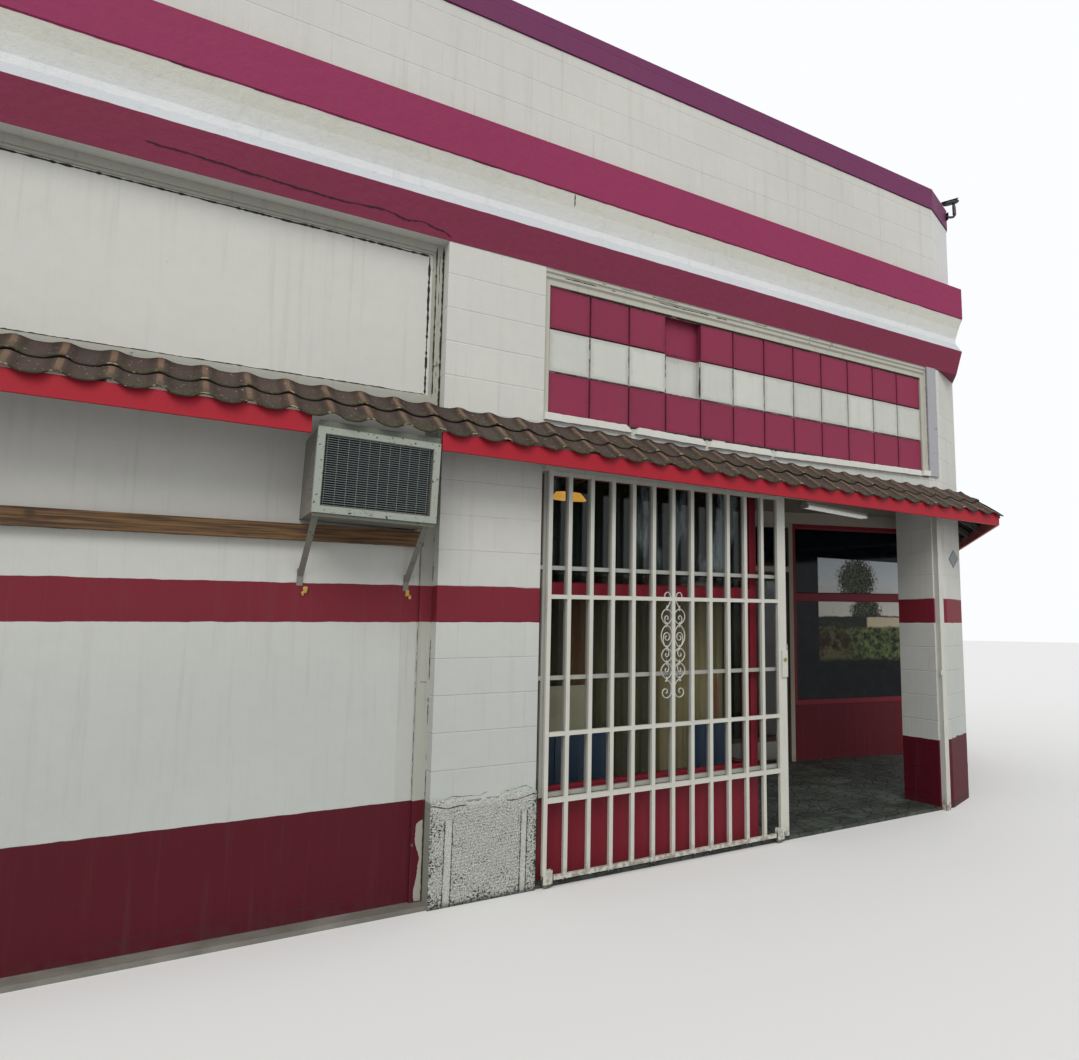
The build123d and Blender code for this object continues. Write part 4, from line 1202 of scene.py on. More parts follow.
@dataclass
class BoardedBay(SubAssembly):
    """The boarded left bay with its joints, cover strip, plank and bits of sealing foam."""

    left: float = -2900
    face: float = 112
    low_edge: float = -70

    def joints(self) -> None:
        """Dark gaps round the boards and up the frame, and a drag line by the ground."""
        y, left, edge = self.face + 0.5, self.left + 70, self.low_edge + 3
        rows = (
            (y, ((edge, 30), (edge, 1950)), SIDE, 7, 1.5, 31),
            (y, ((-81, 2845), (-81, 3690)), SIDE, 11, 1.2, 32),
            (y, ((left + 12, 3688), (-81, 3688)), UP, 11, 1.5, 33),
            (y, ((left + 12, 2846), (-82, 2846)), UP, 6, 2, 34),
            (y, ((left, 1957), (-72, 1957)), UP, 4, 1.5, 35),
            (90.4, ((-45, 2845), (-45, 3745)), SIDE, 7, 1, 36),
            (89.9, ((-27, 2790), (-27, 3750)), SIDE, 3, 1, 42, 0.8, 0.4),
            (89.9, ((-4, 20), (-5, 560)), SIDE, 8, 3, 37),
            (89.9, ((-3, 560), (-3, 2500)), SIDE, 3.5, 1, 38, 0.8, 0.35),
            (89.9, ((-5, 2700), (-5, 3750)), SIDE, 12, 1, 39),
            (y, ((left, 92), (-600, 88), (-160, 110)), UP, 3, 3, 40, 0.8, 0.4),
            (90, ((-52, 1200), (-12, 1196)), UP, 3, 1, 41))
        self.gaps("bay_joints", "2B2822", None, *(
            (on_wall(depth, *places), across, OUT, *rest)
            for depth, places, across, *rest in rows))

    def cover_strip(self) -> None:
        """A weathered cover strip beside the lower board's edge: a thin bevelled board."""
        section = np.array([(-44, 0), (44, 0), (44, 2.2), (41, 3.2), (-41, 3.2), (-44, 2.2)])
        x = self.low_edge - 47
        self.add("cover_strip", bars(on_wall(self.face, (x, 560), (x, 1737)),
                                     on_wall(self.face, (x - 2, 1529), (x, 1950)), section,
                                     OUT),
                 PaintedFace("cover_strip", Surface.BOARD, "C2C2BB", peel=0.12,
                             under="8F8A7C", grime=0.6, low_shade=0.6), "white_wood")

    def bare_patch(self) -> None:
        """Where the jamb's paint has come off low down: a film with a scalloped left edge.

        The left edge is a line plus a sine and smoothed noise, and reaches out to the
        jamb's own edge where the film is widest.
        """
        z = np.linspace(30, 452, 60)
        rng = np.random.default_rng(17)
        noise = np.convolve(rng.normal(0, 1, len(z) + 4), np.full(5, 0.2), "valid")
        left = -34 - 11 * np.sin(z / 52.0) - 9 * np.exp(-(((z - 330) / 45) ** 2)) + 4 * noise
        left = np.clip(left, -60, -20) + 26 * np.clip((z - 425) / 27, 0, 1) ** 2
        right = np.full_like(z, -9.0) - 2.0 * np.roll(noise, 7)
        rings = xyz(np.stack([left, right, right, left], -1), (89.4, 89.4, 90.2, 90.2),
                    z[:, None])
        self.add("bare_patch", [tube(rings)],
                 PaintedFace("bare_patch", Surface.BOARD, "A3A197", peel=0.35,
                             under="8A877C", grime=0.5), "white_wood")

    def foam(self) -> None:
        """Lumps of yellow sealing foam under the cooler's strut feet.

        Each is a sphere's grid whose radius is its size times one plus a sum of sines.
        """
        lat = np.linspace(-1.35, 1.35, 9)[:, None]
        lon = np.linspace(0, 2 * np.pi, 15)[None, :-1]
        lumps = []
        for x, z, size in ((-134, 1690, 15), (-122, 1668, 10), (-660, 1700, 14),
                           (-672, 1680, 9)):
            r = size * (1 + 0.22 * np.sin(3 * lon + z) * np.cos(lat)
                        + 0.16 * np.sin(4 * lat + x))
            lumps.append(tube(xyz(x + 0.8 * r * np.cos(lat) * np.cos(lon),
                                  self.face - 4 + 0.6 * r * np.cos(lat) * np.sin(lon),
                                  z + 1.3 * r * np.sin(lat))))
        self.add("sealing_foam", lumps,
                 PlainFinish("sealing_foam", "BC9C50", 0.85, 0.0, 0.5, 90.0, 0.002),
                 smooth=True)

    def build(self) -> None:
        """Dresses the bay and builds its trim."""
        self.dress(PaintedFace("bay_boards", Surface.BOARD, Paint.BASE, STRIPES, 0.05,
                               "B3AC9C", 0.3, low_shade=1.0), "left_boards")
        self.dress(PaintedFace("bay_frame", Surface.BOARD, Paint.BASE, (
            (0.56, "B4B3A9"), (1.53, Paint.STRIPE), (1.735, "A9A89E")), 0.45, "7A766B", 0.8,
            low_shade=0.6), "left_bay_frame")
        self.dress(BareWood("plank_wood", "7A5A38", "3A2919"), "left_plank")
        self.joints()
        self.cover_strip()
        self.bare_patch()
        self.foam()


@dataclass
class WindowCooler(SubAssembly):
    """The window air conditioner, in its own frame that sags to the right."""

    width: float = 600
    height: float = 424
    front: float = 286
    rim: float = 34
    sag: float = 1.7

    def placed(self, points: Array) -> Array:
        """Points of the level housing, put in the sagging place."""
        c, s = math.cos(math.radians(self.sag)), math.sin(math.radians(self.sag))
        x, y, z = points.T
        return self.plan.at(xyz(x * c + z * s - 408, y, z * c - x * s + 2056))

    def wires(self, along: Array, at: Array, radius: float, upright: bool,
              face: float) -> list[Part]:
        """Round wires of the guard, with a soft bulge that is a half sine across it.

        Args:
            along: Places along each wire.
            at: Place of each wire across its length.
            radius: Half its thickness.
            upright: Whether the wires stand.
            face: Depth of the wires at the rim.

        Returns:
            The wires.
        """
        half = self.width / 2 - self.rim
        ways = (SIDE, BACK) if upright else (BACK, UP)
        parts = []
        for place in at:
            x, z = (place, along) if upright else (along, place)
            bulge = 3.0 * np.sin(np.pi * (x + half) / (2 * half))
            parts.append(swept(xyz(x, face - self.front - bulge, z), radius * circle(5),
                               *ways))
        return parts

    def grille(self) -> None:
        """The woven guard of level wires on stouter uprights, and the coil's fins behind."""
        half, low, high = self.width / 2 - self.rim, self.rim, self.height - self.rim
        parts = self.wires(np.linspace(-half, half, 15), np.arange(low + 4, high, 11.5), 1.25,
                           False, 8)
        parts += self.wires(np.linspace(low, high, 9), np.arange(-half + 12, half, 50.0), 0.9,
                            True, 9.6)
        self.add("guard_wires", parts, WornSteel("guard_wire", "8A9492", 0.3, 0.5, 0.2),
                 "galvanised", "cooler_guard", smooth=True, place=self.placed)
        starts = xyz(np.arange(2 - half, half - 2, 4.0), 46 - self.front, 37)
        section = np.array([(-0.5, -11), (0.5, -11), (0.5, 11), (-0.5, 11)])
        self.add("coil_fins", bars(starts, starts + (self.height - 74) * UP, section, BACK),
                 PlainFinish("coil_fins", "262C2F", 0.8, 0.0, 0.3, 60.0), "galvanised",
                 place=self.placed)

    def rims(self) -> None:
        """The flaking angle round the outer end, and folded strips over and under it."""
        section = np.array([(31, 1), (31, -2.5), (-3, -2.5), (-3, 22), (-0.5, 22),
                            (-0.5, 1)])
        half = self.width / 2
        self.add("cooler_rim", [framed((-half, 0, half, self.height), section, -self.front)],
                 PaintedFace("flaking_rim", Surface.STEEL, "9CA298", peel=0.12,
                             under="7F857A", grime=0.5, rough=0.5, specks=0.75),
                 "galvanised", place=self.placed)
        fold = np.array([(-16, 0), (16, 0), (16, 5), (13, 5), (13, 1.5), (-16, 1.5)])
        over = bars([(-300, -281, 443), (187, -281, 443)], [(183, -281, 443),
                    (300, -281, 443)], fold, OUT)
        below = bars((-300, -279, -12), (300, -279, -12), fold * (0.55, 1.0), OUT)
        # Painted shade: the flashing's grey-green is made dark, for the shade under the tiles.
        self.add("cooler_flashing", over + below,
                 PaintedFace("shaded_flashing", Surface.STEEL, "666C60", peel=0.2, under="464A40",
                             grime=0.7, specks=0.6), "galvanised", place=self.placed)

    def build(self) -> None:
        """Dresses the housing, adds its guard and rims, and presses louvres in its sides.

        A louvre is half an ellipse carried along the housing.
        """
        casing = PaintedFace("cooler_metal", Surface.STEEL, Paint.GALVANISED, peel=0.3,
                             under="5A5A50", grime=0.8, rough=0.5, specks=0.7)
        self.dress(casing, "cooler_casing")
        self.grille()
        self.rims()
        ridge = circle(7, np.pi, False) * (3.2, 3.0)
        louvres = []
        for side in (-1, 1):
            for depth in (45, 115):
                starts = xyz(side * self.width / 2, depth - self.front,
                             np.arange(70.0, 360, 17))
                louvres += bars(starts, starts + 52 * BACK, ridge, side * SIDE)
        self.add("side_louvres", louvres, casing, "galvanised", place=self.placed)


@dataclass
class PanelBand(SubAssembly):
    """The striped panels over the gate, in their moulded frame on a broken sill."""

    left: float = 615
    right: float = 4200
    low: float = 2818
    high: float = 3660
    columns: int = 12
    side: float = 40.5
    rows: int = 3

    def seams(self) -> None:
        """Dark gaps between the panels, dirty in the white row, and round the frame."""
        x = np.linspace(self.left + self.side, self.right - self.side, self.columns + 1)
        z = np.linspace(self.low, self.high, self.rows + 1)
        wine, dirt = [], []
        for i, place in enumerate(x[1:-1]):
            for row in range(self.rows):
                seam = on_wall(49.5, (place, z[row] + 4), (place, z[row + 1] - 4))
                rest = (11, 1.5, 50 + 3 * i + row, 0.8, 0.12) if row == 1 else (
                    9.5, 1.5, 50 + 3 * i + row)
                (dirt if row == 1 else wine).append((seam, SIDE, OUT, *rest))
        left, right = self.left, self.right
        for depth, start, stop, *rest in (
                (49.5, (x[0], z[1]), (x[-1], z[1]), 6, 1.5, 90, 0.8, 0.1),
                (49.5, (x[0], z[2]), (x[-1], z[2]), 6, 1.5, 91, 0.8, 0.1),
                (37.6, (left + 6, 3655), (right - 6, 3655), 15, 3.5, 93, 1.2, 0.06),
                (37.6, (left + 44, 2823), (right - 44, 2823), 9, 3, 94, 0.8, 0.35),
                (13.6, (left + 20, 3722), (2500, 3719), 5, 3, 95, 0.8, 0.5),
                (3.6, (left + 300, 3745), (3900, 3748), 3, 2, 96, 0.8, 0.7)):
            dirt.append((on_wall(depth, start, stop), UP, OUT, *rest))
        self.gaps("panel_gaps", "33101A", "maroon_panel", *wine)
        self.gaps("panel_dirt", "2C2A22", "white_panel", *dirt)

    def sill(self) -> None:
        """The sill as short boards that have sagged apart.

        Along a board the top stays near the panels and the bottom falls or rises from one
        end to the other, with a chip's noise on both, and its ends slant into a V.
        """
        boards, rng = [], np.random.default_rng(7)
        y, top = np.array([-26.0, 24.0, 24.0, -26.0]), np.array([0.0, 0.0, 1.0, 1.0])
        for x0, x1, z0, z1, slant0, slant1 in (
                (self.left + 1, 1236, 2772, 2768, 0, 46), (1262, 1838, 2764, 2752, 26, 40),
                (1858, 2436, 2752, 2752, 24, 30), (2452, 4086, 2750, 2776, 22, 18),
                (4104, self.right - 1, 2781, 2785, 14, 0)):
            n = max(8, int((x1 - x0) / 30))
            s = np.linspace(0, 1, n)[:, None]
            start, stop = x0 + slant0 * top, x1 - slant1 * top
            chip = rng.normal(0, 1.1, (n, 4))
            boards.append(tube(xyz(start + (stop - start) * s, y + np.abs(chip) * (y < 0),
                                   z0 + (z1 - z0) * s + top * 45 + chip)))
        self.add("sill_boards", boards,
                 PaintedFace("sill_paint", Surface.BOARD, "D4D5CE", peel=0.22,
                             under="8D8675", grime=0.3), "white_wood", "band_sill")
        dark = on_wall(25.6, (self.left + 30, 2812), (self.right - 30, 2816))
        self.gaps("sill_gap", "26261E", "white_wood", (dark, UP, OUT, 15, 2, 97, 0.8, 0.1))

    def build(self) -> None:
        """Dresses the panels and adds the gaps and the sill."""
        start = float(self.plan.at((self.left + self.side, 0, 0))[0])
        cells = (start, (self.right - self.left - 2 * self.side) / self.columns / 1000,
                 self.low / 1000, (self.high - self.low) / self.rows / 1000)
        for row, code, peel, under, grime, rough in (
                ("dark", "882D4A", 0.04, "6A5A54", 0.35, 0.55),
                ("light", "CACCC5", 0.12, "9A917E", 0.3, 0.6)):
            self.dress(PaintedFace(f"{row}_panels", Surface.BOARD, code, (), peel, under,
                                   grime, rough, cells=cells), f"band_{row}_panels")
        self.dress(PaintedFace("band_frame", Surface.BOARD, "B9B8AC", peel=0.35,
                               under="7D7767", grime=0.7), "band_frame")
        self.seams()
        self.sill()


@dataclass(frozen=True)
class Curtain(Finish):
    """Curtain cloth: dark olive on the left, one brown width, and beige on the right.

    Attributes:
        start: Place along X that its widths are counted from, in metres.
        name: The material's name.
    """

    start: float
    name: str = "olive_backing"

    def write(self, s: Shader) -> bpy.types.Material:
        """Writes the upright stripes, the widths and a rusty patch low down."""
        local = s.x - self.start
        stripe = s.noise(1.0, 3.0, 0.5, (9.0, 0.2, 0.25)).step(0.38, 0.62)
        light = s.coats("6E6745", (stripe, "978E66"))
        rust = local.step(2.12, 2.14) * local.step(2.23, 2.21) * s.z.step(1.16, 1.08)
        colour = s.coats("2E2D1D", (stripe, "4E4B32"),
                         (local.step(0.97, 0.99) * local.step(1.13, 1.11), "5E4127"),
                         (local.step(1.52, 1.72), light), (rust * 0.7, "8A4A34"))
        return s.finish(colour, 0.9, s.noise(1.0, 3.0, 0.5, (300, 300, 40)), 0.0006)


@dataclass
class DisplayWindow(SubAssembly):
    """The display window behind the gate, with what stands behind its dusty glass."""

    def drapes(self) -> None:
        """Upright-pleated backing: depth is a sum of two sines along the window."""
        x, z = np.linspace(640, 2255, 420), np.linspace(30, 1685, 24)[:, None]
        fold = 9 * np.sin(x / 27.0) + 5 * np.sin(x / 11.3 + 1.3)
        points = xyz(x, 372 + fold * (0.8 + 0.2 * np.sin(z / 500)), z)
        self.sheet("display_backing", [(points.reshape(-1, 3), [grid_faces(24, 420)])],
                   Curtain(float(self.plan.shift[0])), "back_board", 0.006, True)

    def goods(self) -> None:
        """Blue boards that stand on end on a rail, and a pale blank card."""
        spans = np.array([(664, 862), (868, 1072), (1078, 1284), (1908, 2084), (2090, 2264)])
        for name, starts, ends, section, finish in (
                ("blue_boards", xyz(spans[:, 0], 300, 668), xyz(spans[:, 1], 300, 668),
                 rounded_section(14, 335, 3),
                 PlainFinish("blue_boards", "173350", 0.6, 0.0, 0.3, 60.0)),
                ("window_shelf", (664, 300, 505), (2264, 300, 505),
                 rounded_section(60, 22, 3), MAROON),
                ("pale_card", (822, 300, 980), (1098, 300, 980),
                 rounded_section(5, 288, 2, 4),
                 PlainFinish("pale_card", "A9A78C", 0.7, 0.0, 0.25, 60.0))):
            self.add(name, bars(starts, ends, section, UP), finish)

    def lamp(self) -> None:
        """A lit shade on an arm from the window's head, as one flared ring section.

        A shade point is its centre plus the ring's radius at that height times
        (2.3 cos, sin) of its turn.
        """
        radius, z = np.array([(36, 2408), (40, 2411), (58, 2366), (56, 2361), (30, 2363)]).T
        x, y = radius[:, None] * circle(32).T[:, None]
        self.add("window_lamp", [tube(xyz(1004 + 2.3 * x, 440 + y, z[:, None]))],
                 Glowing("lamp_shade", "F7B84C", 3.2))
        self.add("window_lamp_arm",
                 bars([(1004, 128, 2466), (1004, 440, 2410)],
                      [(1004, 452, 2466), (1004, 440, 2472)], rounded_section(14, 10, 3),
                      SIDE), PlainFinish("lamp_arm", "4A4A46", 0.4, 0.7))

    def build(self) -> None:
        """Dresses the window and its bars, and adds what is behind them."""
        self.dress(MAROON, "display_frame", "return_frame")
        # The upper glass's dark cover paints the shade of the dim room behind it, with painted
        # sky glare.
        self.dress(WindowGlass("display_glass", ("23261C", 0.12), (1.84, "18201E", 0.6), 0.8),
                   "display_glass")
        # Painted shade: the fixed bars behind the gate are a greyer white than the gate's own
        # paint.
        self.dress(WornSteel("shaded_fixed_bars", "9FA19A", 0.3), "window_bars")
        self.dress(PlainFinish("shadowed_board", "3A3424", 0.9), "display_backboard")
        self.drapes()
        self.goods()
        self.lamp()
        panes = ((665, 540, 2275, 1690), (665, 1770, 2275, 2450))
        self.add("glazing_beads", [framed(pane, bead(11), 95.5) for pane in panes], MAROON,
                 "maroon_wood")


@dataclass
class SlidingGate(SubAssembly):
    """The sliding gate leaf with its welds, scrollwork, lock, wheels and guide.

    Attributes:
        plan: The building's places.
        first_bar: Middle of the first upright bar.
        bar_pitch: Distance from bar to bar.
        bar_count: Number of bars.
        rails: Middle height of each rail.
        scroll_bar: The bar that carries the scrollwork, counted from 0.
        crossings: Heights where the two strands cross and a short spur stands.
        strands: The two strips of one side, as (distance from the bar, height).
        spirals: The curls inside the loops, likewise.
    """

    first_bar: float = 794
    bar_pitch: float = 151.7
    bar_count: int = 12
    rails: tuple[float, ...] = (54, 491, 871, 1683, 2438)
    scroll_bar: int = 5
    crossings: tuple[float, ...] = (1622, 1515, 1365, 1269, 1163)
    strands: tuple[tuple[tuple[float, float], ...], ...] = (
        ((44, 1690), (56, 1684), (66, 1694), (66, 1712), (50, 1728), (30, 1719), (22, 1698),
         (24, 1668), (38, 1640), (50, 1622), (74, 1606), (89, 1580), (88, 1556), (72, 1530),
         (50, 1515), (24, 1492), (10, 1455), (12, 1418), (28, 1386), (50, 1365), (74, 1350),
         (89, 1326), (87, 1304), (72, 1283), (50, 1269), (26, 1254), (11, 1228), (12, 1204),
         (28, 1180), (50, 1163), (60, 1148)),
        ((40, 1640), (50, 1622), (26, 1606), (10, 1580), (11, 1556), (28, 1530), (50, 1515),
         (76, 1492), (91, 1455), (89, 1418), (72, 1386), (50, 1365), (26, 1350), (10, 1326),
         (12, 1304), (28, 1283), (50, 1269), (74, 1254), (91, 1228), (89, 1204), (74, 1182),
         (50, 1163), (26, 1143), (12, 1112), (13, 1076), (30, 1050), (52, 1044), (74, 1054),
         (82, 1076), (74, 1096), (58, 1101), (46, 1092), (46, 1078), (56, 1073)),
    )
    spirals: tuple[tuple[tuple[float, float], ...], ...] = (
        ((50, 1515), (64, 1536), (66, 1560), (54, 1574), (42, 1566), (42, 1554), (50, 1551)),
        ((50, 1365), (70, 1390), (77, 1424), (70, 1452), (52, 1464), (34, 1454), (28, 1436),
         (36, 1418), (52, 1414), (62, 1426), (58, 1440), (48, 1440)),
        ((50, 1365), (38, 1348), (35, 1326), (44, 1310), (57, 1310), (61, 1322), (54, 1328)),
        ((50, 1269), (38, 1252), (34, 1230), (42, 1212), (56, 1212), (61, 1224), (54, 1231)),
    )

    def welds(self, paint: Finish) -> None:
        """A small lumpy bead in each corner where a rail meets a bar.

        A bead is two rings of six points on a flattened ball.
        """
        bar_x = self.first_bar + self.bar_pitch * np.arange(self.bar_count)
        gx, gz, sx, sz = np.meshgrid(bar_x, self.rails, (-13.5, 13.5), (-12.5, 12.5),
                                     indexing="ij")
        centre = xyz((gx + sx).ravel(), -36.0, (gz + sz).ravel())
        ring, tilt = circle(6), np.array([0.35, 0.8])[:, None]
        ball = xyz(ring[:, 0] * np.cos(tilt), -np.sin(tilt), ring[:, 1] * np.cos(tilt))
        size = 3.4 + 1.1 * np.sin(np.arange(len(centre)) * 2.7)
        self.add("gate_welds", [tube(c + ball * s * (1.0, 0.6, 1.6))
                                for c, s in zip(centre, size)],
                 paint, "white_steel", body="gate", smooth=True)

    def scrollwork(self, paint: Finish) -> None:
        """Both sides of the scrollwork: a flat strip carried along smooth lines.

        Two strands swing from side to side of a middle line 50 mm from the bar and cross
        between the loops. Short spurs stand at the crossings.
        """
        bar = self.first_bar + self.scroll_bar * self.bar_pitch
        lines = [through(k) for k in (*self.strands, *self.spirals)]
        lines += [through([(50, z + 17), (50.5, z), (50, z - 17)]) for z in self.crossings]
        parts = []
        for side in (-1, 1):
            for index, line in enumerate(lines):
                path = xyz(bar + side * line[:, 0], 2.4 * (index % 2) - 29.0, line[:, 1])
                parts.append(swept(path, rounded_section(5.2, 10.0, 1.6, 2),
                                   np.cross(BACK, unit(np.gradient(path, axis=0))), BACK))
        self.add("scroll_strips", parts, paint, "white_steel", "gate_scrollwork", "gate", True)

    def build(self) -> None:
        """Dresses the gate, and adds the welds, the scrollwork and the lock's cylinder."""
        paint = WornSteel("gate_paint")
        self.dress(paint, "gate_leaf", "gate_lock_box", "strike_post", "gate_guide")
        self.dress(WornSteel("wheel_steel", "7C7A74", 0.6, 0.45, 0.7), "gate_front_wheel",
                   "gate_rear_wheel")
        self.welds(paint)
        self.scrollwork(paint)
        depth, radius = np.array([(0, 13.0), (1.5, 14.0), (5.0, 14.0), (6.5, 12.5),
                                  (6.5, 5.0), (4.5, 4.0), (4.5, 0.5)]).T[..., None]
        x, z = radius * circle(24).T[:, None]
        self.add("lock_cylinder", [tube(xyz(2500.2 + x, -48 - depth, 1266 + z))],
                 PlainFinish("lock_cylinder", "9A8A62", 0.35, 0.9, 0.2, 120.0, 0.0002),
                 "white_steel", body="gate")


class Porch(SubAssembly):
    """The porch walls, window, door and ceiling lamp."""

    def batten(self) -> None:
        """The ceiling lamp: a slim channel with two bare tubes between end caps.

        A tube is a circle carried along the lamp, and drawn in at both ends.
        """
        base = np.array([*(self.plan.jamb + (165, -531)), 0.0])
        way = np.array([self.plan.porch_way[0], -self.plan.porch_way[1], 0.0])
        side = np.cross(UP, way)
        parts = [part for start, stop, z, section in (
            (-608, 608, 2764, rounded_section(64, 31, 6)),
            (-608, -590, 2736, rounded_section(96, 40, 8)),
            (590, 608, 2736, rounded_section(96, 40, 8)))
            for part in bars(base + start * way + z * UP, base + stop * way + z * UP, section,
                             UP)]
        self.add("lamp_casing", parts, PlainFinish("lamp_casing", "C9C8BE", 0.5),
                 "lamp_white")
        run = np.array([(-592, 8), (-588, 13), (588, 13), (592, 8)])[:, None]
        ring = circle(16) @ np.stack([side, UP])
        tubes = [tube(base + run[..., :1] * way + place * side + 2731 * UP
                      + run[..., 1:] * ring) for place in (-27, 27)]
        self.add("lamp_tubes", tubes, Glowing("lamp_tubes", "D8DAD6", 0.35), "lamp_white",
                 "porch_lamp")

    def build(self) -> None:
        """Dresses the porch, adds the lamp, the beads, the kick plate and the closer."""
        # The porch walls' low band is a darker maroon, painted shade of the porch.
        for name, top, nodes in (
                ("porch_plaster", 0.56, ("porch_left_wall", "porch_side_wall", "porch_head")),
                ("porch_low_wall", 0.70, ("porch_window_wall",))):
            self.dress(PaintedFace(name, Surface.PLASTER, Paint.SHADED_PORCH_BASE,
                                   ((top, Paint.PLASTER),), grime=0.4), *nodes)
        self.dress(MAROON, "porch_window_frame")
        self.dress(PaintedFace("door_paint", Surface.BOARD, "3E2A20", peel=0.15,
                               under="6B523E", grime=0.4, rough=0.45), "door_leaf")
        self.dress(PaintedFace("door_jamb", Surface.BOARD, "A59C8A", peel=0.2,
                               under="5A4A3A", grime=0.5), "door_frame")
        start = self.plan.porch((0.0, 0.0, 0.0))
        self.dress(PorchGlass("porch_glass", tuple(map(float, start[:2])),
                              tuple(map(float, self.plan.porch_way))), "porch_glass")
        # The door glass's dark cover paints the shade of the dark room behind it.
        self.dress(WindowGlass("door_glass", ("16120F", 0.9), (1.6, "1A2226", 0.9), 0.5),
                   "door_glass")
        self.dress(PlainFinish("handle_steel", "A8A8A4", 0.3, 0.9), "door_handle")
        self.batten()
        panes = ((45, 670, 1545, 1788), (45, 1864, 1545, 2609))
        self.add("porch_beads", [framed(pane, bead(12), 45.5) for pane in panes], MAROON,
                 "maroon_wood", place=self.plan.porch)
        self.add("kick_plate", bars((-965, 19, 150), (-95, 19, 150),
                                    rounded_section(2, 190, 0.9), UP),
                 WornSteel("kick_plate", "8B8B86", 0.5, 0.35, 0.9), "galvanised",
                 body="entrance_door", place=self.plan.porch)
        self.add("door_closer", bars((-330, 3, 2040), (-100, 3, 2040),
                                     rounded_section(34, 48, 9, 4), UP),
                 PlainFinish("closer_metal", "4A3F36", 0.45, 0.4), "dark_metal",
                 body="entrance_door", place=self.plan.porch)


class CornerFittings(SubAssembly):
    """The camera on its arm at the parapet's corner, the blank plaque and the jamb board."""

    def camera(self) -> None:
        """A bent tube arm on a wall flange, and a tilted oval camera head.

        The head is a superellipse ring carried along its own length, whose size falls
        off at both ends as the square root of one minus the fourth power.
        """
        plan = self.plan
        foot = plan.foot + 0.9 * plan.facet_length * plan.facet_way + 5385 * UP
        out = plan.facet_way * (1, -1, 1)
        path = through([foot, foot + 70 * out, foot + 104 * out + 16 * UP,
                        foot + 108 * out + 60 * UP, foot + 104 * out + 150 * UP])
        side, ring = np.cross(out, UP), circle(12)
        thick = np.interp(np.linspace(0, 1, len(path)), (0, 0.5, 0.62, 0.9, 1),
                          (11, 11, 17, 17, 9))[:, None, None]
        top = np.cross(unit(np.gradient(path, axis=0)), side)[:, None]
        arm = tube(path[:, None] + thick * (ring[:, :1] * side + ring[:, 1:] * top))
        s = np.linspace(-1, 1, 15)[:, None, None]
        way = unit(np.array([0.80, -0.53, 0.26]))
        across = unit(np.cross(UP, way))
        above = np.cross(way, across)
        oval = np.sign(ring) * np.abs(ring) ** 0.8
        centre = path[-1] + 6 * UP - 26 * way
        head = tube(centre + s * 82 * way + np.sqrt(np.maximum(1 - s ** 4, 0.02)) * (
            oval[:, :1] * 30 * across + oval[:, 1:] * 17 * above))
        plate = bars(foot + 24 * out, foot + 32 * out, rounded_section(54, 70, 9, 4), UP)
        visor = bars(centre - 100 * way + 15 * above, centre + 70 * way + 19 * above,
                     rounded_section(68, 5, 2), above)
        self.add("camera_and_arm", [arm, *plate, head, *visor],
                 PlainFinish("camera_black", "26262C", 0.45), "dark_metal", "corner_camera")

    def plaque(self) -> None:
        """A blank slanted plate on the corner facet, with a raised border.

        Its four corners are given along the facet and up it, and each level scales them.
        """
        plan = self.plan
        outline = np.array([(-143, -9), (-14, -81), (149, 10), (9, 81)], float)
        scale, lift = np.array([(1.0, 0.2), (1.0, 4.0), (0.96, 5.2), (0.86, 5.2),
                                (0.84, 3.8), (0.02, 3.8)]).T[..., None, None]
        flat = outline * scale
        rings = (plan.foot + (259 + flat[..., :1]) * plan.facet_way + lift * plan.facet_out
                 + (2095 + flat[..., 1:]) * UP)
        self.add("blank_plaque", [tube(rings)],
                 WornSteel("plaque_steel", "6E7275", 0.3, 0.5, 0.3), "galvanised")

    def jamb_board(self) -> None:
        """The weathered board up the column beside the panel band, with a rough edge."""
        z = np.linspace(2786, 3757, 34)
        rng = np.random.default_rng(3)
        left = 4203 + rng.normal(0, 0.5, len(z))
        right = 4318 + rng.normal(0, 1.2, len(z))
        rings = xyz(np.stack([left, left, left + 2, right - 2, right, right], -1),
                    (0, -15, -17, -17, -15, 0), z[:, None])
        self.add("band_jamb_board", [tube(rings)],
                 PaintedFace("jamb_board", Surface.BOARD, "A5A6AB", peel=0.35,
                             under="84827C", grime=0.6, specks=0.3), "white_wood")
        self.gaps("band_jamb_gap", "2B2A26", "white_wood",
                  (on_wall(-0.4, (4201, 2786), (4201, 3757)), SIDE, OUT, 5, 1, 61))

    def build(self) -> None:
        """Builds the fittings, and the ragged paint edge and dirt round the column's foot."""
        self.camera()
        self.plaque()
        self.jamb_board()
        foot, way, out = self.plan.foot, self.plan.facet_way, self.plan.facet_out
        rows = []
        for z0, z1, facet, front in (
                (562, 558, (10, 7, 81, 0.6, 0.35), (9, 6, 82, 0.6, 0.25)),
                (34, 30, (26, 12, 83, 0.6, 0.1), (24, 12, 84, 0.6, 0.1))):
            turned = [foot + 6 * way + z0 * UP, foot + 455 * way + z1 * UP]
            level = on_wall(-0.4, (4205, z0 - (z0 == 562)), (4366, 565 if z0 == 562 else 30))
            rows += [(turned, UP, out, *facet), (level, UP, OUT, *front)]
        self.gaps("column_foot_dirt", "3A3226", "painted_block", *rows)


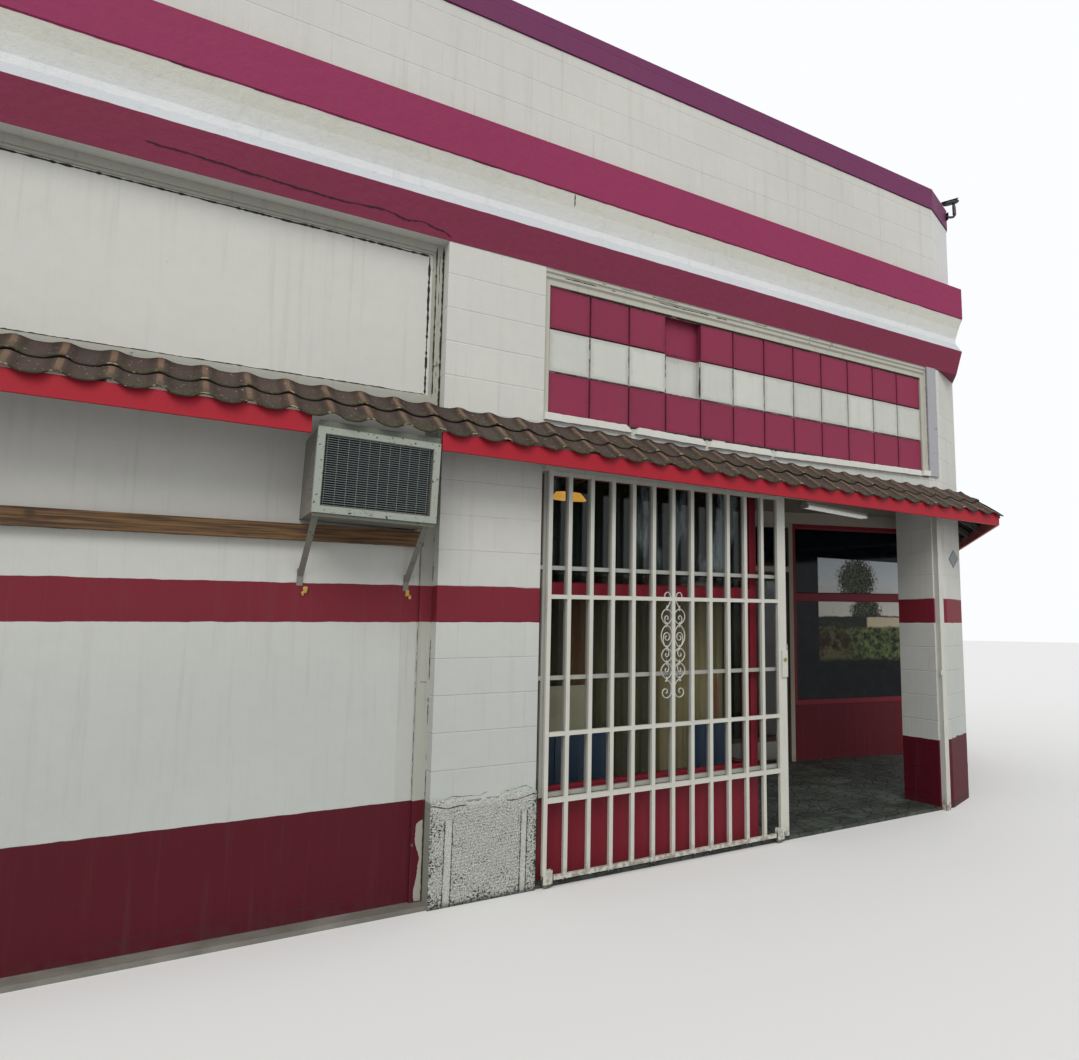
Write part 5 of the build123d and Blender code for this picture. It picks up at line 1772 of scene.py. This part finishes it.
@dataclass
class RoughBase(SubAssembly):
    """The pier's base of thrown render, as a sheet with real relief."""

    width: float = 615
    height: float = 555
    strips: tuple[tuple[float, float, float], ...] = ((103, 19, 455), (540, 16, 450))

    def build(self) -> None:
        """Builds the sheet.

        Depth is a sum of sines of unlike pitch, held down on the two smooth strips, with a
        groove on each side of a strip, and the top edge wanders by a few centimetres. The
        share of dirt grows towards the sheet's edges.
        """
        gx, gz = np.meshgrid(np.linspace(0, 1, 210), np.linspace(0, 1, 190))
        px = gx * self.width
        ragged_top = 14 * np.sin(px / 61) + 9 * np.sin(px / 23 + 1) + 6 * np.sin(px / 9.0)
        pz = gz * (self.height + ragged_top * gz ** 6)
        smooth, groove = np.zeros_like(px), np.zeros_like(px)
        for middle, half, top in self.strips:
            reach = np.abs(px - middle - (pz - top) * 0.012)
            below = 1 / (1 + np.exp((pz - top) / 4))
            smooth = np.maximum(smooth, np.exp(-((reach / half) ** 6)) * below)
            groove = np.maximum(groove, np.exp(-(((reach - half - 3) / 3) ** 2)) * below)
        top_zone = 1 / (1 + np.exp(-(pz - 505 - 10 * np.sin(px / 40)) / 5))
        bumps = (np.sin(px / 3.1 + 2 * np.sin(pz / 5.3)) * np.sin(pz / 2.7 + np.sin(px / 7.1))
                 + 0.8 * np.sin(px / 6.7 + pz / 4.1) * np.sin(pz / 8.3 - px / 5.9))
        flat = np.clip(smooth + 0.6 * top_zone, 0, 1)
        rough = 2.0 * bumps * (1 - flat) - 3.0 * groove
        edge = np.minimum(np.minimum(gx, 1 - gx) * 30, np.minimum(gz, 1 - gz) * 40)
        points = xyz(px, -14 - (3.6 + rough) * np.clip(edge, 0, 1), pz).reshape(-1, 3)
        piece = self.sheet("rough_base", [(points, [grid_faces(190, 210)])], PebbleDash(),
                           "painted_block", 0.003, True)
        near = np.minimum(np.minimum(px, self.width - px) / 90, pz / 150)
        dirty = np.exp(-2.0 * near) + groove * 2.2 + 0.4 * np.sin(px / 37) * np.sin(pz / 29)
        self.mark(piece, smooth=flat, dirty=np.clip(dirty, -0.5, 2.5))
        line = on_wall(-19, (0, 540), (90, 520), (180, 528), (300, 512), (410, 530),
                       (500, 520), (612, 545))
        self.gaps("base_cracks", "26241E", "painted_block",
                  (line, UP, OUT, 4, 6, 71, 1.5, 0.25),
                  (on_wall(-8, (618, 20), (619, 620)), SIDE, OUT, 9, 3, 72, 1.5))


@dataclass
class Studio(SubAssembly):
    """The plain floor, the soft light and the camera at the photograph's viewpoint."""

    focal_px: float = 800
    frame_px: float = 1079
    centre_px: float = 681
    pitch: float = 6.70
    heading: float = 33.56
    eye: tuple[float, float, float] = (-1342, -4485, 1520)

    def placed(self, name: str, data: object) -> bpy.types.Object:
        """Puts a camera, lamp or mesh in the scene."""
        thing = bpy.data.objects.new(name, data)
        bpy.context.scene.collection.objects.link(thing)
        return thing

    def camera(self) -> None:
        """Sets the camera from the photograph's focal length, centre and heading."""
        data = bpy.data.cameras.new("view")
        data.sensor_fit = "HORIZONTAL"
        data.sensor_width = 36
        data.lens = 36 * self.focal_px / self.frame_px
        data.shift_x = (self.frame_px / 2 - self.centre_px) / self.frame_px
        data.clip_end = 200
        view = self.placed("view", data)
        view.location = self.plan.at(self.eye)
        view.rotation_euler = (math.radians(90 + self.pitch), 0, -math.radians(self.heading))
        bpy.context.scene.camera = view

    def floor(self) -> None:
        """A wide plain floor that meets the pale background."""
        s = Shader("plain_floor")
        seen = s.field("ShaderNodeLightPath", output="Is Camera Ray").most(
            s.field("ShaderNodeLightPath", output="Is Glossy Ray"))
        mesh = bpy.data.meshes.new("floor")
        corners = 60 * np.array([(-1, -1, 0), (1, -1, 0), (1, 1, 0), (-1, 1, 0)])
        mesh.from_pydata((corners - 0.0005 * UP).tolist(), [], [(0, 1, 2, 3)])
        mesh.materials.append(s.finish(s.coats((0.42, 0.42, 0.42),
                                               (seen, (0.80, 0.80, 0.80))), 0.9))
        self.placed("floor", mesh)

    def light(self) -> None:
        """A white surround for the eye, a softer one for the object, and one soft lamp."""
        world = bpy.data.worlds.new("studio")
        bpy.context.scene.world = world
        world.use_nodes = True
        tree = world.node_tree
        back = tree.nodes["Background"]
        path = tree.nodes.new("ShaderNodeLightPath")
        seen = path.outputs["Is Camera Ray"]
        for other in ("Is Transmission Ray", "Is Glossy Ray"):
            most = tree.nodes.new("ShaderNodeMath")
            most.operation = "MAXIMUM"
            tree.links.new(seen, most.inputs[0])
            tree.links.new(path.outputs[other], most.inputs[1])
            seen = most.outputs[0]
        level = tree.nodes.new("ShaderNodeMapRange")
        level.inputs["To Min"].default_value = 0.72
        level.inputs["To Max"].default_value = 1.0
        tree.links.new(seen, level.inputs[0])
        back.inputs["Color"].default_value = (0.97, 0.985, 1.0, 1)
        tree.links.new(level.outputs[0], back.inputs["Strength"])
        lamp = bpy.data.lights.new("soft_sun", "SUN")
        lamp.energy = 1.5
        lamp.angle = math.radians(35)
        lamp.color = (1.0, 0.97, 0.92)
        self.placed("soft_sun", lamp).rotation_euler = (math.radians(48), 0,
                                                        math.radians(-28))

    def build(self) -> None:
        """Sets up the stage."""
        self.camera()
        self.floor()
        self.light()
        bpy.context.scene.view_settings.view_transform = "Standard"


def main() -> None:
    """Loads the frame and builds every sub-assembly in order."""
    logging.basicConfig(level=logging.INFO, format="%(name)s: %(message)s")
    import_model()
    plan = Plan()
    for part in (Studio, BlockShell, Awning, BoardedBay, WindowCooler, PanelBand,
                 DisplayWindow, SlidingGate, Porch, RoughBase, CornerFittings):
        part(plan).build()
    log.info("sizes written")


if __name__ == "__main__":
    main()
